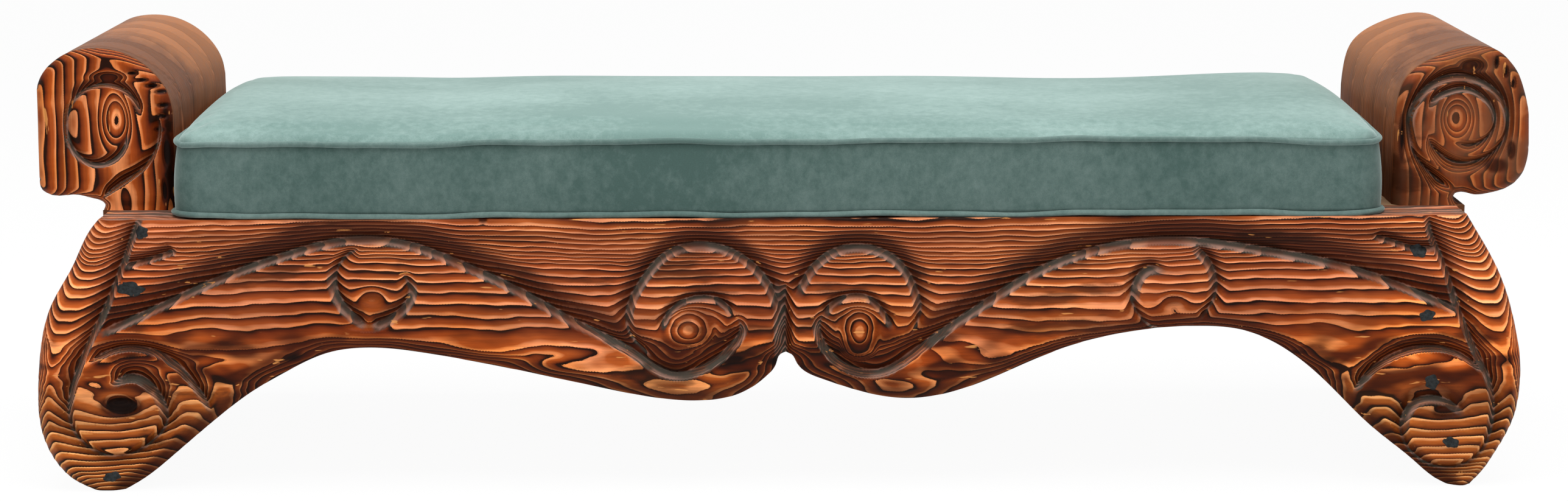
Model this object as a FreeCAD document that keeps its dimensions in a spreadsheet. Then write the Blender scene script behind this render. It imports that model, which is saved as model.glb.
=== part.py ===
import FreeCAD, Part
import math
import os

from FreeCAD import Vector

# Scroll bench in millimetres. +X runs along the seat to the right, +Y to the back, +Z up.
# The origin is on the floor, under the middle of the bench.

SIZES = (
    ("overall_width", 1822.0, "across the outer sides of the two arms"),
    ("board_height", 335.0, "floor to the top edge of the front and back boards"),
    ("board_thick", 76.0, "front and back boards"),
    ("plank_thick", 76.0, "each plank of an arm, counted front to back"),
    ("arm_rise", 198.0, "top of an arm above the boards"),
    ("panel_thick", 76.0, "end panel under each arm"),
    ("panel_inset", 78.0, "outer face of an end panel, in from the arm's outer side"),
    ("panel_floor_gap", 8.0, "under the end panels"),
    ("panel_toe_width", 42.0, "sloping cut at the panel's inner lower corner, across"),
    ("panel_toe_height", 50.0, "sloping cut at the panel's inner lower corner, up"),
    ("deck_thick", 22.0, "seat boards"),
    ("deck_gap", 3.0, "between seat boards, and beside them"),
    ("deck_end_gap", 1.0, "seat boards and bearers to the end panels"),
    ("bearer_width", 38.0, "cross bearers under the seat boards"),
    ("bearer_height", 45.0, "cross bearers under the seat boards"),
    ("bearer_end_gap", 0.3, "bearer ends to the front and back boards"),
    ("cleat_width", 38.0, "cleats along the front and back boards"),
    ("cleat_height", 38.0, "cleats along the front and back boards"),
    ("dowel_radius", 10.0, "arm dowels"),
    ("dowel_depth", 50.0, "of each dowel in the arm, and again in the end panel"),
    ("end_screw_radius", 3.5, "long screws through the boards into the end panels"),
    ("end_screw_head", 6.0, "head radius of the long screws"),
    ("end_screw_length", 112.0, "head to point"),
    ("plug_radius", 6.0, "dark filler over each long screw"),
    ("plug_depth", 26.0, "dark filler over each long screw"),
    ("deck_screw_radius", 2.2, "screws through the seat boards"),
    ("deck_screw_head", 4.5, "head radius"),
    ("deck_screw_length", 50.0, "head to point"),
    ("cleat_screw_radius", 2.5, "screws through the cleats into the boards"),
    ("cleat_screw_head", 5.0, "head radius"),
    ("cleat_screw_length", 70.0, "head to point"),
    ("bearer_screw_radius", 2.5, "screws up through the cleats into the bearers"),
    ("bearer_screw_head", 5.0, "head radius"),
    ("bearer_screw_length", 68.0, "head to point"),
    ("cushion_length", 1452.0, "seam to seam, along the seat"),
    ("cushion_depth", 516.0, "seam to seam, front to back"),
    ("cushion_shift", 7.0, "of the cushion to the left of the middle"),
    ("boxing_height", 80.0, "bottom seam to top seam"),
    ("cushion_crown", 33.0, "top of the crown above the top seam"),
    ("cushion_sole", 5.6, "bottom seam above the seat boards"),
    ("cushion_rest_gap", 0.3, "under the cushion"),
    ("cushion_corner", 30.0, "corner radius in plan"),
    ("side_draw", 4.0, "how far the sides pull in between the corners"),
    ("boxing_draw", 2.5, "how far the boxing pulls in between the seams"),
    ("cover_thick", 2.0, "velvet cover with its backing"),
    ("piping_radius", 3.4, "piping along both seams"),
    ("piping_gap", 0.2, "piping to the cover"),
    ("zip_length", 1180.0, "zip in the back of the boxing"),
    ("zip_height", 24.0, "zip tape"),
    ("slider_length", 14.0, "zip slider"),
    ("slider_height", 9.0, "zip slider"),
    ("slider_thick", 4.0, "zip slider"),
    ("groove_width", 25.0, "long sloping side of a carved groove"),
    ("groove_step", 7.0, "short steep side of a carved groove"),
    ("groove_depth", 9.0, "carved groove"),
    ("fine_width", 15.0, "long side of the narrow grooves in the volutes"),
    ("fine_step", 5.0, "short side of the narrow grooves"),
    ("fine_depth", 6.0, "narrow grooves"),
    ("overrun", 2.0, "how far cutting shapes pass the faces that they cut"),
)

PLANKS_PER_ARM = 5
DECK_BOARDS = 4
BEARERS = 5
STATIONS_PER_POINT = 4

# Front board outline, as shares of half the width and of the board's height.
left_side_shares = ((-0.906, 1.0), (-0.916, 0.968), (-0.943, 0.83), (-0.975, 0.68), (-0.99, 0.54),
                    (-0.997, 0.37), (-0.995, 0.22), (-0.978, 0.104), (-0.955, 0.036), (-0.93, 0.0))
left_foot_shares = (-0.93, -0.885)
left_arch_shares = ((-0.885, 0.0), (-0.86, 0.04), (-0.82, 0.125), (-0.749, 0.287), (-0.709, 0.367),
                    (-0.667, 0.433), (-0.61, 0.505), (-0.553, 0.525), (-0.468, 0.5), (-0.355, 0.44),
                    (-0.242, 0.372), (-0.157, 0.33), (-0.1, 0.326), (-0.06, 0.35), (-0.021, 0.422),
                    (-0.008, 0.472), (0.002, 0.5))
right_arch_shares = ((0.002, 0.5), (0.016, 0.465), (0.05, 0.403), (0.1, 0.358), (0.157, 0.331),
                     (0.213, 0.346), (0.298, 0.43), (0.383, 0.525), (0.439, 0.564), (0.496, 0.587),
                     (0.552, 0.594), (0.609, 0.579), (0.666, 0.51), (0.724, 0.382), (0.784, 0.221),
                     (0.843, 0.09), (0.875, 0.02), (0.89, 0.0))
right_foot_shares = (0.89, 0.92)
right_side_shares = ((0.92, 0.0), (0.935, 0.045), (0.953, 0.12), (0.967, 0.19), (0.977, 0.263),
                     (0.982, 0.37), (0.981, 0.47), (0.975, 0.56), (0.965, 0.668), (0.944, 0.812),
                     (0.913, 0.955), (0.903, 1.0))

# Arm outlines, as shares of half the width and of the arm's rise over the board.
left_arm_inner_share = -0.818
left_arm_crown_shares = ((-0.818, 0.6), (-0.822, 0.7), (-0.83, 0.778), (-0.845, 0.864), (-0.867, 0.94),
                         (-0.891, 0.985), (-0.913, 1.0), (-0.933, 0.997), (-0.951, 0.98),
                         (-0.963, 0.955), (-0.973, 0.924), (-0.983, 0.884), (-0.992, 0.828),
                         (-0.998, 0.758))
left_arm_outer_share = -1.0
left_arm_under_shares = ((-1.0, 0.19), (-0.997, 0.126), (-0.988, 0.096), (-0.97, 0.086),
                         (-0.95, 0.091), (-0.931, 0.071), (-0.919, 0.055), (-0.913, 0.03), (-0.915, 0.0))
right_arm_inner_share = 0.818
right_arm_crown_shares = ((0.818, 0.5), (0.822, 0.66), (0.831, 0.778), (0.845, 0.848), (0.875, 0.924),
                          (0.91, 0.975), (0.935, 0.98), (0.955, 0.95), (0.969, 0.894), (0.98, 0.828),
                          (0.99, 0.717), (0.998, 0.58))
right_arm_outer_share = 1.0
right_arm_under_shares = ((1.0, 0.35), (0.997, 0.25), (0.987, 0.157), (0.971, 0.1), (0.95, 0.071),
                          (0.927, 0.061), (0.91, 0.076), (0.901, 0.058), (0.903, 0.02), (0.909, 0.0))

# Long screws through the boards, as shares of half the width and of the board's height.
end_screw_shares = ((-0.847, 0.958), (-0.866, 0.758), (-0.9, 0.066),
                    (0.84, 0.872), (0.852, 0.636), (0.862, 0.388), (0.89, 0.164))

# Carved routes on the front board, in the same shares. The long side of a groove lies to the left
# of the way the route runs.
left_wave_shares = ((-0.914, 0.588), (-0.853, 0.66), (-0.76, 0.778), (-0.65, 0.887), (-0.572, 0.934),
                    (-0.49, 0.91), (-0.424, 0.84), (-0.35, 0.743), (-0.272, 0.62), (-0.196, 0.507),
                    (-0.145, 0.43), (-0.105, 0.463), (-0.071, 0.537), (-0.058, 0.615), (-0.079, 0.68),
                    (-0.121, 0.719), (-0.148, 0.68))
right_wave_shares = ((0.143, 0.6), (0.13, 0.678), (0.09, 0.722), (0.06, 0.693), (0.048, 0.627),
                     (0.056, 0.531), (0.081, 0.463), (0.119, 0.436), (0.177, 0.522), (0.258, 0.678),
                     (0.339, 0.815), (0.42, 0.893), (0.503, 0.922), (0.627, 0.887), (0.727, 0.833),
                     (0.829, 0.737), (0.9, 0.651))
left_volute_shares = ((-0.172, 0.481), (-0.203, 0.57), (-0.21, 0.65), (-0.194, 0.761), (-0.15, 0.887),
                      (-0.104, 0.91), (-0.057, 0.869), (-0.016, 0.75), (-0.001, 0.636))
right_volute_shares = ((0.012, 0.704), (0.034, 0.818), (0.067, 0.887), (0.109, 0.899), (0.149, 0.854),
                       (0.176, 0.74), (0.181, 0.66), (0.166, 0.561))
left_curl_shares = ((-0.56, 0.9), (-0.588, 0.839), (-0.593, 0.758), (-0.576, 0.669), (-0.551, 0.612),
                    (-0.516, 0.66), (-0.497, 0.734), (-0.505, 0.81))
right_curl_shares = ((0.543, 0.9), (0.568, 0.82), (0.572, 0.72), (0.548, 0.61), (0.51, 0.575),
                     (0.476, 0.624), (0.46, 0.72), (0.48, 0.815), (0.507, 0.812))
left_leg_shares = ((-0.857, 0.985), (-0.88, 0.83), (-0.902, 0.69), (-0.926, 0.561), (-0.95, 0.403),
                   (-0.955, 0.25), (-0.937, 0.17), (-0.895, 0.125), (-0.849, 0.176), (-0.825, 0.266),
                   (-0.832, 0.352), (-0.865, 0.43), (-0.9, 0.4))
right_leg_shares = ((0.853, 0.985), (0.872, 0.848), (0.895, 0.681), (0.922, 0.507), (0.944, 0.373),
                    (0.946, 0.221), (0.928, 0.107), (0.886, 0.063), (0.843, 0.116), (0.824, 0.233),
                    (0.84, 0.315), (0.878, 0.325), (0.912, 0.263))
left_foot_arc_shares = ((-0.928, 0.478), (-0.886, 0.53), (-0.83, 0.512), (-0.786, 0.4), (-0.762, 0.29))
right_foot_arc_shares = ((0.754, 0.346), (0.79, 0.455), (0.852, 0.519), (0.903, 0.487), (0.932, 0.421))

# Carved routes on the fronts of the arms, as shares of half the width and of the arm's rise.
left_arm_scroll_shares = ((-0.918, 0.09), (-0.889, 0.21), (-0.861, 0.345), (-0.842, 0.5), (-0.842, 0.62),
                          (-0.86, 0.76), (-0.89, 0.83), (-0.925, 0.81), (-0.95, 0.73), (-0.956, 0.6),
                          (-0.952, 0.47), (-0.928, 0.35), (-0.9, 0.34), (-0.88, 0.42))
right_arm_scroll_shares = ((0.9, 0.09), (0.868, 0.21), (0.845, 0.33), (0.837, 0.46), (0.843, 0.64),
                           (0.87, 0.775), (0.905, 0.825), (0.946, 0.72), (0.971, 0.53), (0.95, 0.32),
                           (0.91, 0.25), (0.875, 0.33), (0.857, 0.5), (0.868, 0.68))

# Crown of the cushion: how far each ring lies in from the seam, as a share of half the cushion's
# depth, and its height as a share of the crown.
crown_ring_shares = ((0.0, 0.0), (0.055, 0.24), (0.16, 0.54), (0.33, 0.81), (0.56, 0.96), (0.86, 1.0))
under_ring_shares = ((0.02, 1.0), (0.0, 0.45), (0.0, 0.0))
cleat_screw_shares = (-0.9, -0.54, -0.2, 0.2, 0.54, 0.9)

doc = FreeCAD.newDocument("scroll_bench")
sheet = doc.addObject("Spreadsheet::Sheet", "Sizes")
for row, (alias, value, note) in enumerate(SIZES, start=1):
    sheet.set("A%d" % row, alias)
    sheet.set("B%d" % row, str(value))
    sheet.set("C%d" % row, note)
    sheet.setAlias("B%d" % row, alias)
doc.recompute()

nodes = []


def size(alias):
    """A driving size, read from the sheet."""
    return float(sheet.get(alias))


def cell(text):
    """An expression with the sheet's name in front of each alias."""
    words = []
    for word in text.split():
        known = any(word == alias for alias, _, _ in SIZES)
        words.append("Sizes." + word if known else word)
    return " ".join(words)


def place(piece, x="0", y="0", z="0"):
    """Bind a piece's place to the sheet."""
    for axis, text in (("x", x), ("y", y), ("z", z)):
        piece.setExpression("Placement.Base." + axis, cell(text))


def node(piece, label):
    """Name a finished piece; its label becomes its file's name."""
    piece.Label = label
    nodes.append(piece)
    return piece


def block(name, length, width, height, x, y, z):
    """A straight block whose sides and near corner come from the sheet."""
    piece = doc.addObject("Part::Box", name)
    piece.setExpression("Length", cell(length))
    piece.setExpression("Width", cell(width))
    piece.setExpression("Height", cell(height))
    place(piece, x, y, z)
    return piece


def cut(name, base, tool):
    """The base with the tool's shape taken away."""
    piece = doc.addObject("Part::Cut", name)
    piece.Base = base
    piece.Tool = tool
    return piece


def common(name, base, tool):
    """What two shapes share."""
    piece = doc.addObject("Part::Common", name)
    piece.Base = base
    piece.Tool = tool
    return piece


def group(name, pieces):
    """Separate solids that are kept in one node."""
    piece = doc.addObject("Part::Compound", name)
    piece.Links = pieces
    return piece


def shaped(name, shape):
    """A piece whose shape is worked out from the sheet in code."""
    piece = doc.addObject("Part::Feature", name)
    piece.Shape = shape
    return piece


half_width = size("overall_width") / 2
board_height = size("board_height")
arm_length = size("plank_thick") * PLANKS_PER_ARM
half_depth = arm_length / 2 + size("board_thick")
arm_half_length = "plank_thick * %d / 2" % PLANKS_PER_ARM


def board_point(shares, y):
    """A point on the front board from its two shares."""
    return Vector(shares[0] * half_width, y, shares[1] * board_height)


def arm_point(shares, y):
    """A point on an arm from its two shares."""
    return Vector(shares[0] * half_width, y, board_height + shares[1] * size("arm_rise"))


def flowing(points):
    """One smooth edge through the points."""
    curve = Part.BSplineCurve()
    curve.interpolate(points)
    return curve.toShape()


def straight(start, end):
    """A straight edge."""
    return Part.LineSegment(start, end).toShape()


def board_outline(y):
    """The closed outline of the front or back board in the plane at y."""
    def run(shares):
        return [board_point(pair, y) for pair in shares]
    edges = [
        flowing(run(left_side_shares)),
        straight(board_point((left_foot_shares[0], 0), y), board_point((left_foot_shares[1], 0), y)),
        flowing(run(left_arch_shares)),
        flowing(run(right_arch_shares)),
        straight(board_point((right_foot_shares[0], 0), y), board_point((right_foot_shares[1], 0), y)),
        flowing(run(right_side_shares)),
        straight(board_point(right_side_shares[-1], y), board_point(left_side_shares[0], y)),
    ]
    return Part.Face(Part.Wire(edges))


def arm_outline(crown_shares, under_shares, inner_share, y):
    """The closed outline of an arm's end in the plane at y."""
    crown = [arm_point(pair, y) for pair in crown_shares]
    under = [arm_point(pair, y) for pair in under_shares]
    inner_foot = arm_point((inner_share, 0), y)
    edges = [straight(inner_foot, crown[0]), flowing(crown), straight(crown[-1], under[0]), flowing(under),
             straight(under[-1], inner_foot)]
    return Part.Face(Part.Wire(edges))


def thicken(name, outline, depth):
    """A board cut to an outline, as deep along +Y as the sheet says."""
    profile = shaped(name + "_outline", outline)
    piece = doc.addObject("Part::Extrusion", name)
    piece.Base = profile
    piece.DirMode = "Custom"
    piece.Dir = Vector(0, 1, 0)
    piece.Solid = True
    piece.setExpression("LengthFwd", cell(depth))
    return piece


def groove(points, width, step, depth):
    """A carved groove along a route on a face that looks to -Y.

    Its section is a triangle: a long slope to the left of the route, the bottom line under the
    route and a short steep side to the right. It runs out to nothing at both ends."""
    over = size("overrun") / depth
    curve = Part.BSplineCurve()
    curve.interpolate(points)
    count = (len(points) - 1) * STATIONS_PER_POINT
    sections = []
    for index in range(count + 1):
        share = index / count
        at = curve.FirstParameter + share * (curve.LastParameter - curve.FirstParameter)
        spot = curve.value(at)
        along = curve.tangent(at)[0]
        left = Vector(-along.z, 0, along.x)
        full = min(1.0, 0.12 + 8 * min(share, 1 - share))
        lift = Vector(0, -over * depth * full, 0)
        corners = [spot + left * (width * full * (1 + over)) + lift,
                   spot + Vector(0, depth * full, 0),
                   spot - left * (step * full * (1 + over)) + lift]
        sections.append(Part.makePolygon(corners + corners[:1]))
    return Part.makeLoft(sections, True, True)


def carve(name, base, routes, to_point, y, width, step, depth):
    """Cut grooves into a piece, one after another."""
    piece = base
    for index, route in enumerate(routes, start=1):
        points = [to_point(pair, y) for pair in route]
        tool = shaped("%s_groove_%d" % (name, index), groove(points, width, step, depth))
        piece = cut("%s_carved_%d" % (name, index), piece, tool)
    return piece


def screw(name, radius, head, length):
    """A countersunk screw along -Z with its head's face at the origin."""
    shank = doc.addObject("Part::Cylinder", name + "_shank")
    shank.setExpression("Radius", cell(radius))
    shank.setExpression("Height", cell(length))
    place(shank, z="- " + length)
    cone = doc.addObject("Part::Cone", name + "_head")
    cone.setExpression("Radius1", cell(radius))
    cone.setExpression("Radius2", cell(head))
    cone.setExpression("Height", cell(head))
    place(cone, z="- " + head)
    whole = doc.addObject("Part::Fuse", name)
    whole.Base = shank
    whole.Tool = cone
    return whole


def copies(name, master, turn, spots):
    """Separate copies of one master solid, each at its own spot and turned alike."""
    doc.recompute()
    solids = []
    for spot in spots:
        solid = master.Shape.copy()
        solid.Placement = FreeCAD.Placement(spot, turn)
        solids.append(solid)
    return shaped(name, Part.makeCompound(solids))


TO_FRONT = FreeCAD.Rotation(Vector(1, 0, 0), 90)
TO_BACK = FreeCAD.Rotation(Vector(1, 0, 0), -90)
UPWARD = FreeCAD.Rotation(Vector(1, 0, 0), 180)
AS_MADE = FreeCAD.Rotation()

# Heights and places that several pieces share
deck_bottom = board_height - size("deck_thick")
bearer_bottom = deck_bottom - size("bearer_height")
cleat_bottom = bearer_bottom - size("cleat_height")
panel_outer = half_width - size("panel_inset")
panel_inner = panel_outer - size("panel_thick")
panel_middle = panel_outer - size("panel_thick") / 2
bearer_reach = panel_inner - size("deck_end_gap") - size("bearer_width") / 2
bearer_places = [bearer_reach * (2 * k / (BEARERS - 1) - 1) for k in range(BEARERS)]
deck_width = (arm_length - (DECK_BOARDS + 1) * size("deck_gap")) / DECK_BOARDS
deck_pitch = deck_width + size("deck_gap")
deck_places = [(k - (DECK_BOARDS - 1) / 2) * deck_pitch for k in range(DECK_BOARDS)]
plank_places = [(k - (PLANKS_PER_ARM - 1) / 2) * size("plank_thick") for k in range(PLANKS_PER_ARM)]

# Screws and dowels come first, because the boards are drilled with them
end_master = screw("end_screw", "end_screw_radius", "end_screw_head", "end_screw_length")
deck_master = screw("deck_screw", "deck_screw_radius", "deck_screw_head", "deck_screw_length")
cleat_master = screw("cleat_screw", "cleat_screw_radius", "cleat_screw_head", "cleat_screw_length")
bearer_master = screw("bearer_screw", "bearer_screw_radius", "bearer_screw_head", "bearer_screw_length")

head_plane = half_depth - size("plug_depth")
front_end_screws = node(copies("front_end_screws", end_master, TO_FRONT,
                               [board_point(pair, -head_plane) for pair in end_screw_shares]),
                        "front_end_screws")
back_end_screws = node(copies("back_end_screws", end_master, TO_BACK,
                              [board_point(pair, head_plane) for pair in end_screw_shares]),
                       "back_end_screws")
deck_screws = node(copies("deck_screws", deck_master, AS_MADE,
                          [Vector(x, y, board_height) for x in bearer_places for y in deck_places]),
                   "deck_screws")

cleat_middle = cleat_bottom + size("cleat_height") / 2
cleat_face = arm_length / 2 - size("cleat_width")
cleat_screw_spots = [share * panel_inner for share in cleat_screw_shares]
front_cleat_screws = node(copies("front_cleat_screws", cleat_master, TO_BACK,
                                 [Vector(x, -cleat_face, cleat_middle) for x in cleat_screw_spots]),
                          "front_cleat_screws")
back_cleat_screws = node(copies("back_cleat_screws", cleat_master, TO_FRONT,
                                [Vector(x, cleat_face, cleat_middle) for x in cleat_screw_spots]),
                         "back_cleat_screws")
bearer_screw_line = arm_length / 2 - size("cleat_width") / 2
bearer_screws = node(copies("bearer_screws", bearer_master, UPWARD,
                            [Vector(x, y, cleat_bottom) for x in bearer_places
                             for y in (-bearer_screw_line, bearer_screw_line)]),
                     "bearer_screws")


def plugs(name, side):
    """Filler over the long screws, flush with the outer face of a board."""
    start = half_depth if side > 0 else -head_plane
    solids = [Part.makeCylinder(size("plug_radius"), size("plug_depth"), board_point(pair, start),
                                Vector(0, -1, 0)) for pair in end_screw_shares]
    return shaped(name, Part.makeCompound(solids))


def dowels(name, share):
    """One upright dowel for each plank of an arm."""
    depth = size("dowel_depth")
    solids = [Part.makeCylinder(size("dowel_radius"), 2 * depth,
                                Vector(share * panel_middle, y, board_height - depth))
              for y in plank_places]
    return shaped(name, Part.makeCompound(solids))


front_plugs = plugs("front_plugs_blank", -1)
back_plugs = node(plugs("back_screw_plugs", 1), "back_screw_plugs")
left_dowels = node(dowels("arm_dowels_left", -1), "arm_dowels_left")
right_dowels = node(dowels("arm_dowels_right", 1), "arm_dowels_right")

# Front and back boards
front_routes = (left_wave_shares, right_wave_shares, left_leg_shares, right_leg_shares,
                left_foot_arc_shares, right_foot_arc_shares)
fine_routes = (left_volute_shares, right_volute_shares, left_curl_shares, right_curl_shares)


def carve_front(name, blank):
    """All grooves of the front face."""
    piece = carve(name, blank, front_routes, board_point, -half_depth,
                  size("groove_width"), size("groove_step"), size("groove_depth"))
    return carve(name + "_fine", piece, fine_routes, board_point, -half_depth,
                 size("fine_width"), size("fine_step"), size("fine_depth"))


front_blank = thicken("front_blank", board_outline(-half_depth), "board_thick")
front_drilled = cut("front_drilled", front_blank,
                    group("front_drilling", [front_plugs, front_end_screws, front_cleat_screws]))
front_board = node(carve_front("front_board", front_drilled), "front_board")
front_screw_plugs = node(carve_front("front_screw_plugs", front_plugs), "front_screw_plugs")

back_blank = thicken("back_blank", board_outline(arm_length / 2), "board_thick")
back_board = node(cut("back_board", back_blank,
                      group("back_drilling", [back_plugs, back_end_screws, back_cleat_screws])),
                  "back_board")


# End panels, between the two boards and under the arms
def panel_outline(side):
    """The end panel seen from the front, with its inner lower corner cut off."""
    y = -arm_length / 2
    floor = size("panel_floor_gap")
    corners = [(panel_outer, floor), (panel_outer, board_height), (panel_inner, board_height),
               (panel_inner, floor + size("panel_toe_height")), (panel_inner + size("panel_toe_width"), floor)]
    points = [Vector(side * x, y, z) for x, z in corners]
    return Part.Face(Part.makePolygon(points + points[:1]))


for side, label, pins in ((-1, "left", left_dowels), (1, "right", right_dowels)):
    blank = thicken("panel_%s_blank" % label, panel_outline(side), "plank_thick * %d" % PLANKS_PER_ARM)
    drilling = group("panel_%s_drilling" % label, [pins, front_end_screws, back_end_screws])
    node(cut("end_panel_" + label, blank, drilling), "end_panel_" + label)


# Arms, each a stack of planks that stand one behind another
def arm(label, outline, route, pins):
    """The planks of one arm, drilled for the dowels, with the front one carved."""
    blank = thicken("arm_%s_blank" % label, outline, "plank_thick * %d" % PLANKS_PER_ARM)
    drilled = cut("arm_%s_drilled" % label, blank, pins)
    for index in range(PLANKS_PER_ARM):
        name = "arm_%s_plank_%d" % (label, index + 1)
        zone = block(name + "_zone", "overall_width + overrun", "plank_thick", "arm_rise + overrun",
                     "- ( overall_width + overrun ) / 2",
                     "plank_thick * %d - %s" % (index, arm_half_length), "board_height")
        plank = common(name + "_sawn", drilled, zone)
        if index == 0:
            plank = carve(name, plank, (route,), arm_point, -arm_length / 2,
                          size("fine_width"), size("fine_step"), size("fine_depth"))
        node(plank, name)


arm("left", arm_outline(left_arm_crown_shares, left_arm_under_shares, left_arm_inner_share, -arm_length / 2),
    left_arm_scroll_shares, left_dowels)
arm("right", arm_outline(right_arm_crown_shares, right_arm_under_shares, right_arm_inner_share, -arm_length / 2),
    right_arm_scroll_shares, right_dowels)

# Seat boards, bearers and cleats
panel_clear = "( overall_width - 2 * panel_inset - 2 * panel_thick )"
deck_length = panel_clear + " - 2 * deck_end_gap"
deck_width_text = "( ( plank_thick * %d - %d * deck_gap ) / %d )" % (PLANKS_PER_ARM, DECK_BOARDS + 1, DECK_BOARDS)
for index in range(DECK_BOARDS):
    name = "deck_board_%d" % (index + 1)
    y = "deck_gap - %s + %d * ( %s + deck_gap )" % (arm_half_length, index, deck_width_text)
    blank = block(name + "_blank", deck_length, deck_width_text, "deck_thick",
                  "- ( %s ) / 2" % deck_length, y, "board_height - deck_thick")
    node(cut(name, blank, deck_screws), name)

bearer_drilling = group("bearer_drilling", [deck_screws, bearer_screws])
bearer_pitch = "( ( %s - bearer_width ) / %d )" % (deck_length, BEARERS - 1)
for index in range(BEARERS):
    name = "cross_bearer_%d" % (index + 1)
    blank = block(name + "_blank", "bearer_width", "plank_thick * %d - 2 * bearer_end_gap" % PLANKS_PER_ARM,
                  "bearer_height", "%d * %s - ( %s ) / 2" % (index, bearer_pitch, deck_length),
                  "bearer_end_gap - " + arm_half_length, "board_height - deck_thick - bearer_height")
    node(cut(name, blank, bearer_drilling), name)

for side, label, screws in ((-1, "front", front_cleat_screws), (1, "back", back_cleat_screws)):
    y = "- " + arm_half_length if side < 0 else arm_half_length + " - cleat_width"
    blank = block("%s_cleat_blank" % label, deck_length, "cleat_width", "cleat_height",
                  "- ( %s ) / 2" % deck_length, y, "board_height - deck_thick - bearer_height - cleat_height")
    node(cut(label + "_cleat", blank, group(label + "_cleat_drilling", [screws, bearer_screws])),
         label + "_cleat")


# Cushion
cushion_x = -size("cushion_shift")
bottom_seam = board_height + size("cushion_rest_gap") + size("cushion_sole")
top_seam = bottom_seam + size("boxing_height")


def plan_ring(inset, draw, z):
    """A closed ring in plan: four shallow sides that pull in, and four corners tangent to them."""
    half_x = size("cushion_length") / 2 - inset
    half_y = size("cushion_depth") / 2 - inset
    corner = size("cushion_corner")
    lean = 2 * math.atan(draw / (half_x - corner))
    short_draw = draw * (half_y - corner) / (half_x - corner)
    half_chord = corner * math.sqrt(0.5)
    bulge = half_chord * (1 + math.tan((math.pi / 4 + lean) / 2)) * math.sqrt(0.5)
    edges = []
    for sx, sy in ((1, 1), (-1, 1), (-1, -1), (1, -1)):
        upright = Vector(cushion_x + sx * half_x, sy * (half_y - corner), z)
        across = Vector(cushion_x + sx * (half_x - corner), sy * half_y, z)
        middle = Vector(cushion_x + sx * (half_x - corner + bulge), sy * (half_y - corner + bulge), z)
        if sx == sy:
            waist = Vector(cushion_x, sy * (half_y - draw), z)
            end = Vector(cushion_x - sx * (half_x - corner), sy * half_y, z)
            edges.append(Part.Arc(upright, middle, across).toShape())
            edges.append(Part.Arc(across, waist, end).toShape())
        else:
            waist = Vector(cushion_x + sx * (half_x - short_draw), 0, z)
            end = Vector(cushion_x + sx * half_x, -sy * (half_y - corner), z)
            edges.append(Part.Arc(across, middle, upright).toShape())
            edges.append(Part.Arc(upright, waist, end).toShape())
    return Part.Wire(edges)


def cushion_form(skin):
    """The whole cushion, a skin's thickness inside its outer surface."""
    draw = size("side_draw")
    half_y = size("cushion_depth") / 2
    rings = [plan_ring(skin + inset * half_y, draw, bottom_seam - drop * (size("cushion_sole") - skin))
             for inset, drop in under_ring_shares]
    rings.append(plan_ring(skin + size("boxing_draw"), draw, (bottom_seam + top_seam) / 2))
    rings += [plan_ring(skin + inset * (half_y - skin), draw * (1 - rise / 2),
                        top_seam + rise * (size("cushion_crown") - skin)) for inset, rise in crown_ring_shares]
    return Part.makeLoft(rings, True, True)


def piping(name, seam_height):
    """A round cord in cloth that follows a seam of the cushion."""
    route = plan_ring(-size("piping_radius") - size("piping_gap"), size("side_draw"), seam_height)
    first = route.OrderedEdges[0]
    start = first.valueAt(first.FirstParameter)
    along = first.tangentAt(first.FirstParameter)
    ring = Part.Wire(Part.makeCircle(size("piping_radius"), start, along))
    return shaped(name, route.makePipeShell([ring], True, False))


outer_form = shaped("cushion_outer_form", cushion_form(0.0))
cushion_foam = node(shaped("cushion_foam", cushion_form(size("cover_thick"))), "cushion_foam")
piping_top = node(piping("piping_top", top_seam), "piping_top")
piping_bottom = node(piping("piping_bottom", bottom_seam), "piping_bottom")
skin = cut("cushion_skin", outer_form, cushion_foam)

over_x = "- ( cushion_length / 2 + cushion_shift + overrun )"
over_y = "- ( cushion_depth / 2 + overrun )"
over_length = "cushion_length + 2 * overrun"
over_depth = "cushion_depth + 2 * overrun"
seam_low = "( board_height + cushion_rest_gap + cushion_sole )"
top_zone = block("top_zone", over_length, over_depth, "cushion_crown + overrun", over_x, over_y,
                 seam_low + " + boxing_height")
side_zone = block("side_zone", over_length, over_depth, "boxing_height", over_x, over_y, seam_low)
low_zone = block("low_zone", over_length, over_depth, "cushion_sole + overrun", over_x, over_y,
                 seam_low + " - cushion_sole - overrun")
zip_zone = block("zip_zone", "zip_length", "cushion_depth / 2 + overrun", "zip_height",
                 "- cushion_shift - zip_length / 2", "0", seam_low + " + ( boxing_height - zip_height ) / 2")
node(common("cushion_top_panel", skin, top_zone), "cushion_top_panel")
node(common("cushion_bottom_panel", skin, low_zone), "cushion_bottom_panel")
band = common("boxing_band", skin, side_zone)
node(cut("cushion_boxing", band, zip_zone), "cushion_boxing")
node(common("zipper_tape", band, zip_zone), "zipper_tape")
slider_blank = block("slider_blank", "slider_length", "slider_thick * 3", "slider_height",
                     "zip_length / 2 - cushion_shift - 2 * slider_length",
                     "cushion_depth / 2 - slider_thick * 2",
                     seam_low + " + ( boxing_height - slider_height ) / 2")
slider_trim = cut("slider_trim", slider_blank, outer_form)
slider_zone = block("slider_zone", "slider_length * 2", "slider_thick * 3", "slider_height * 2",
                    "zip_length / 2 - cushion_shift - 2.5 * slider_length",
                    "cushion_depth / 2 - slider_thick * 2",
                    seam_low + " + ( boxing_height - 2 * slider_height ) / 2")
node(common("zipper_slider", slider_trim, slider_zone), "zipper_slider")

doc.recompute()

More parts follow.
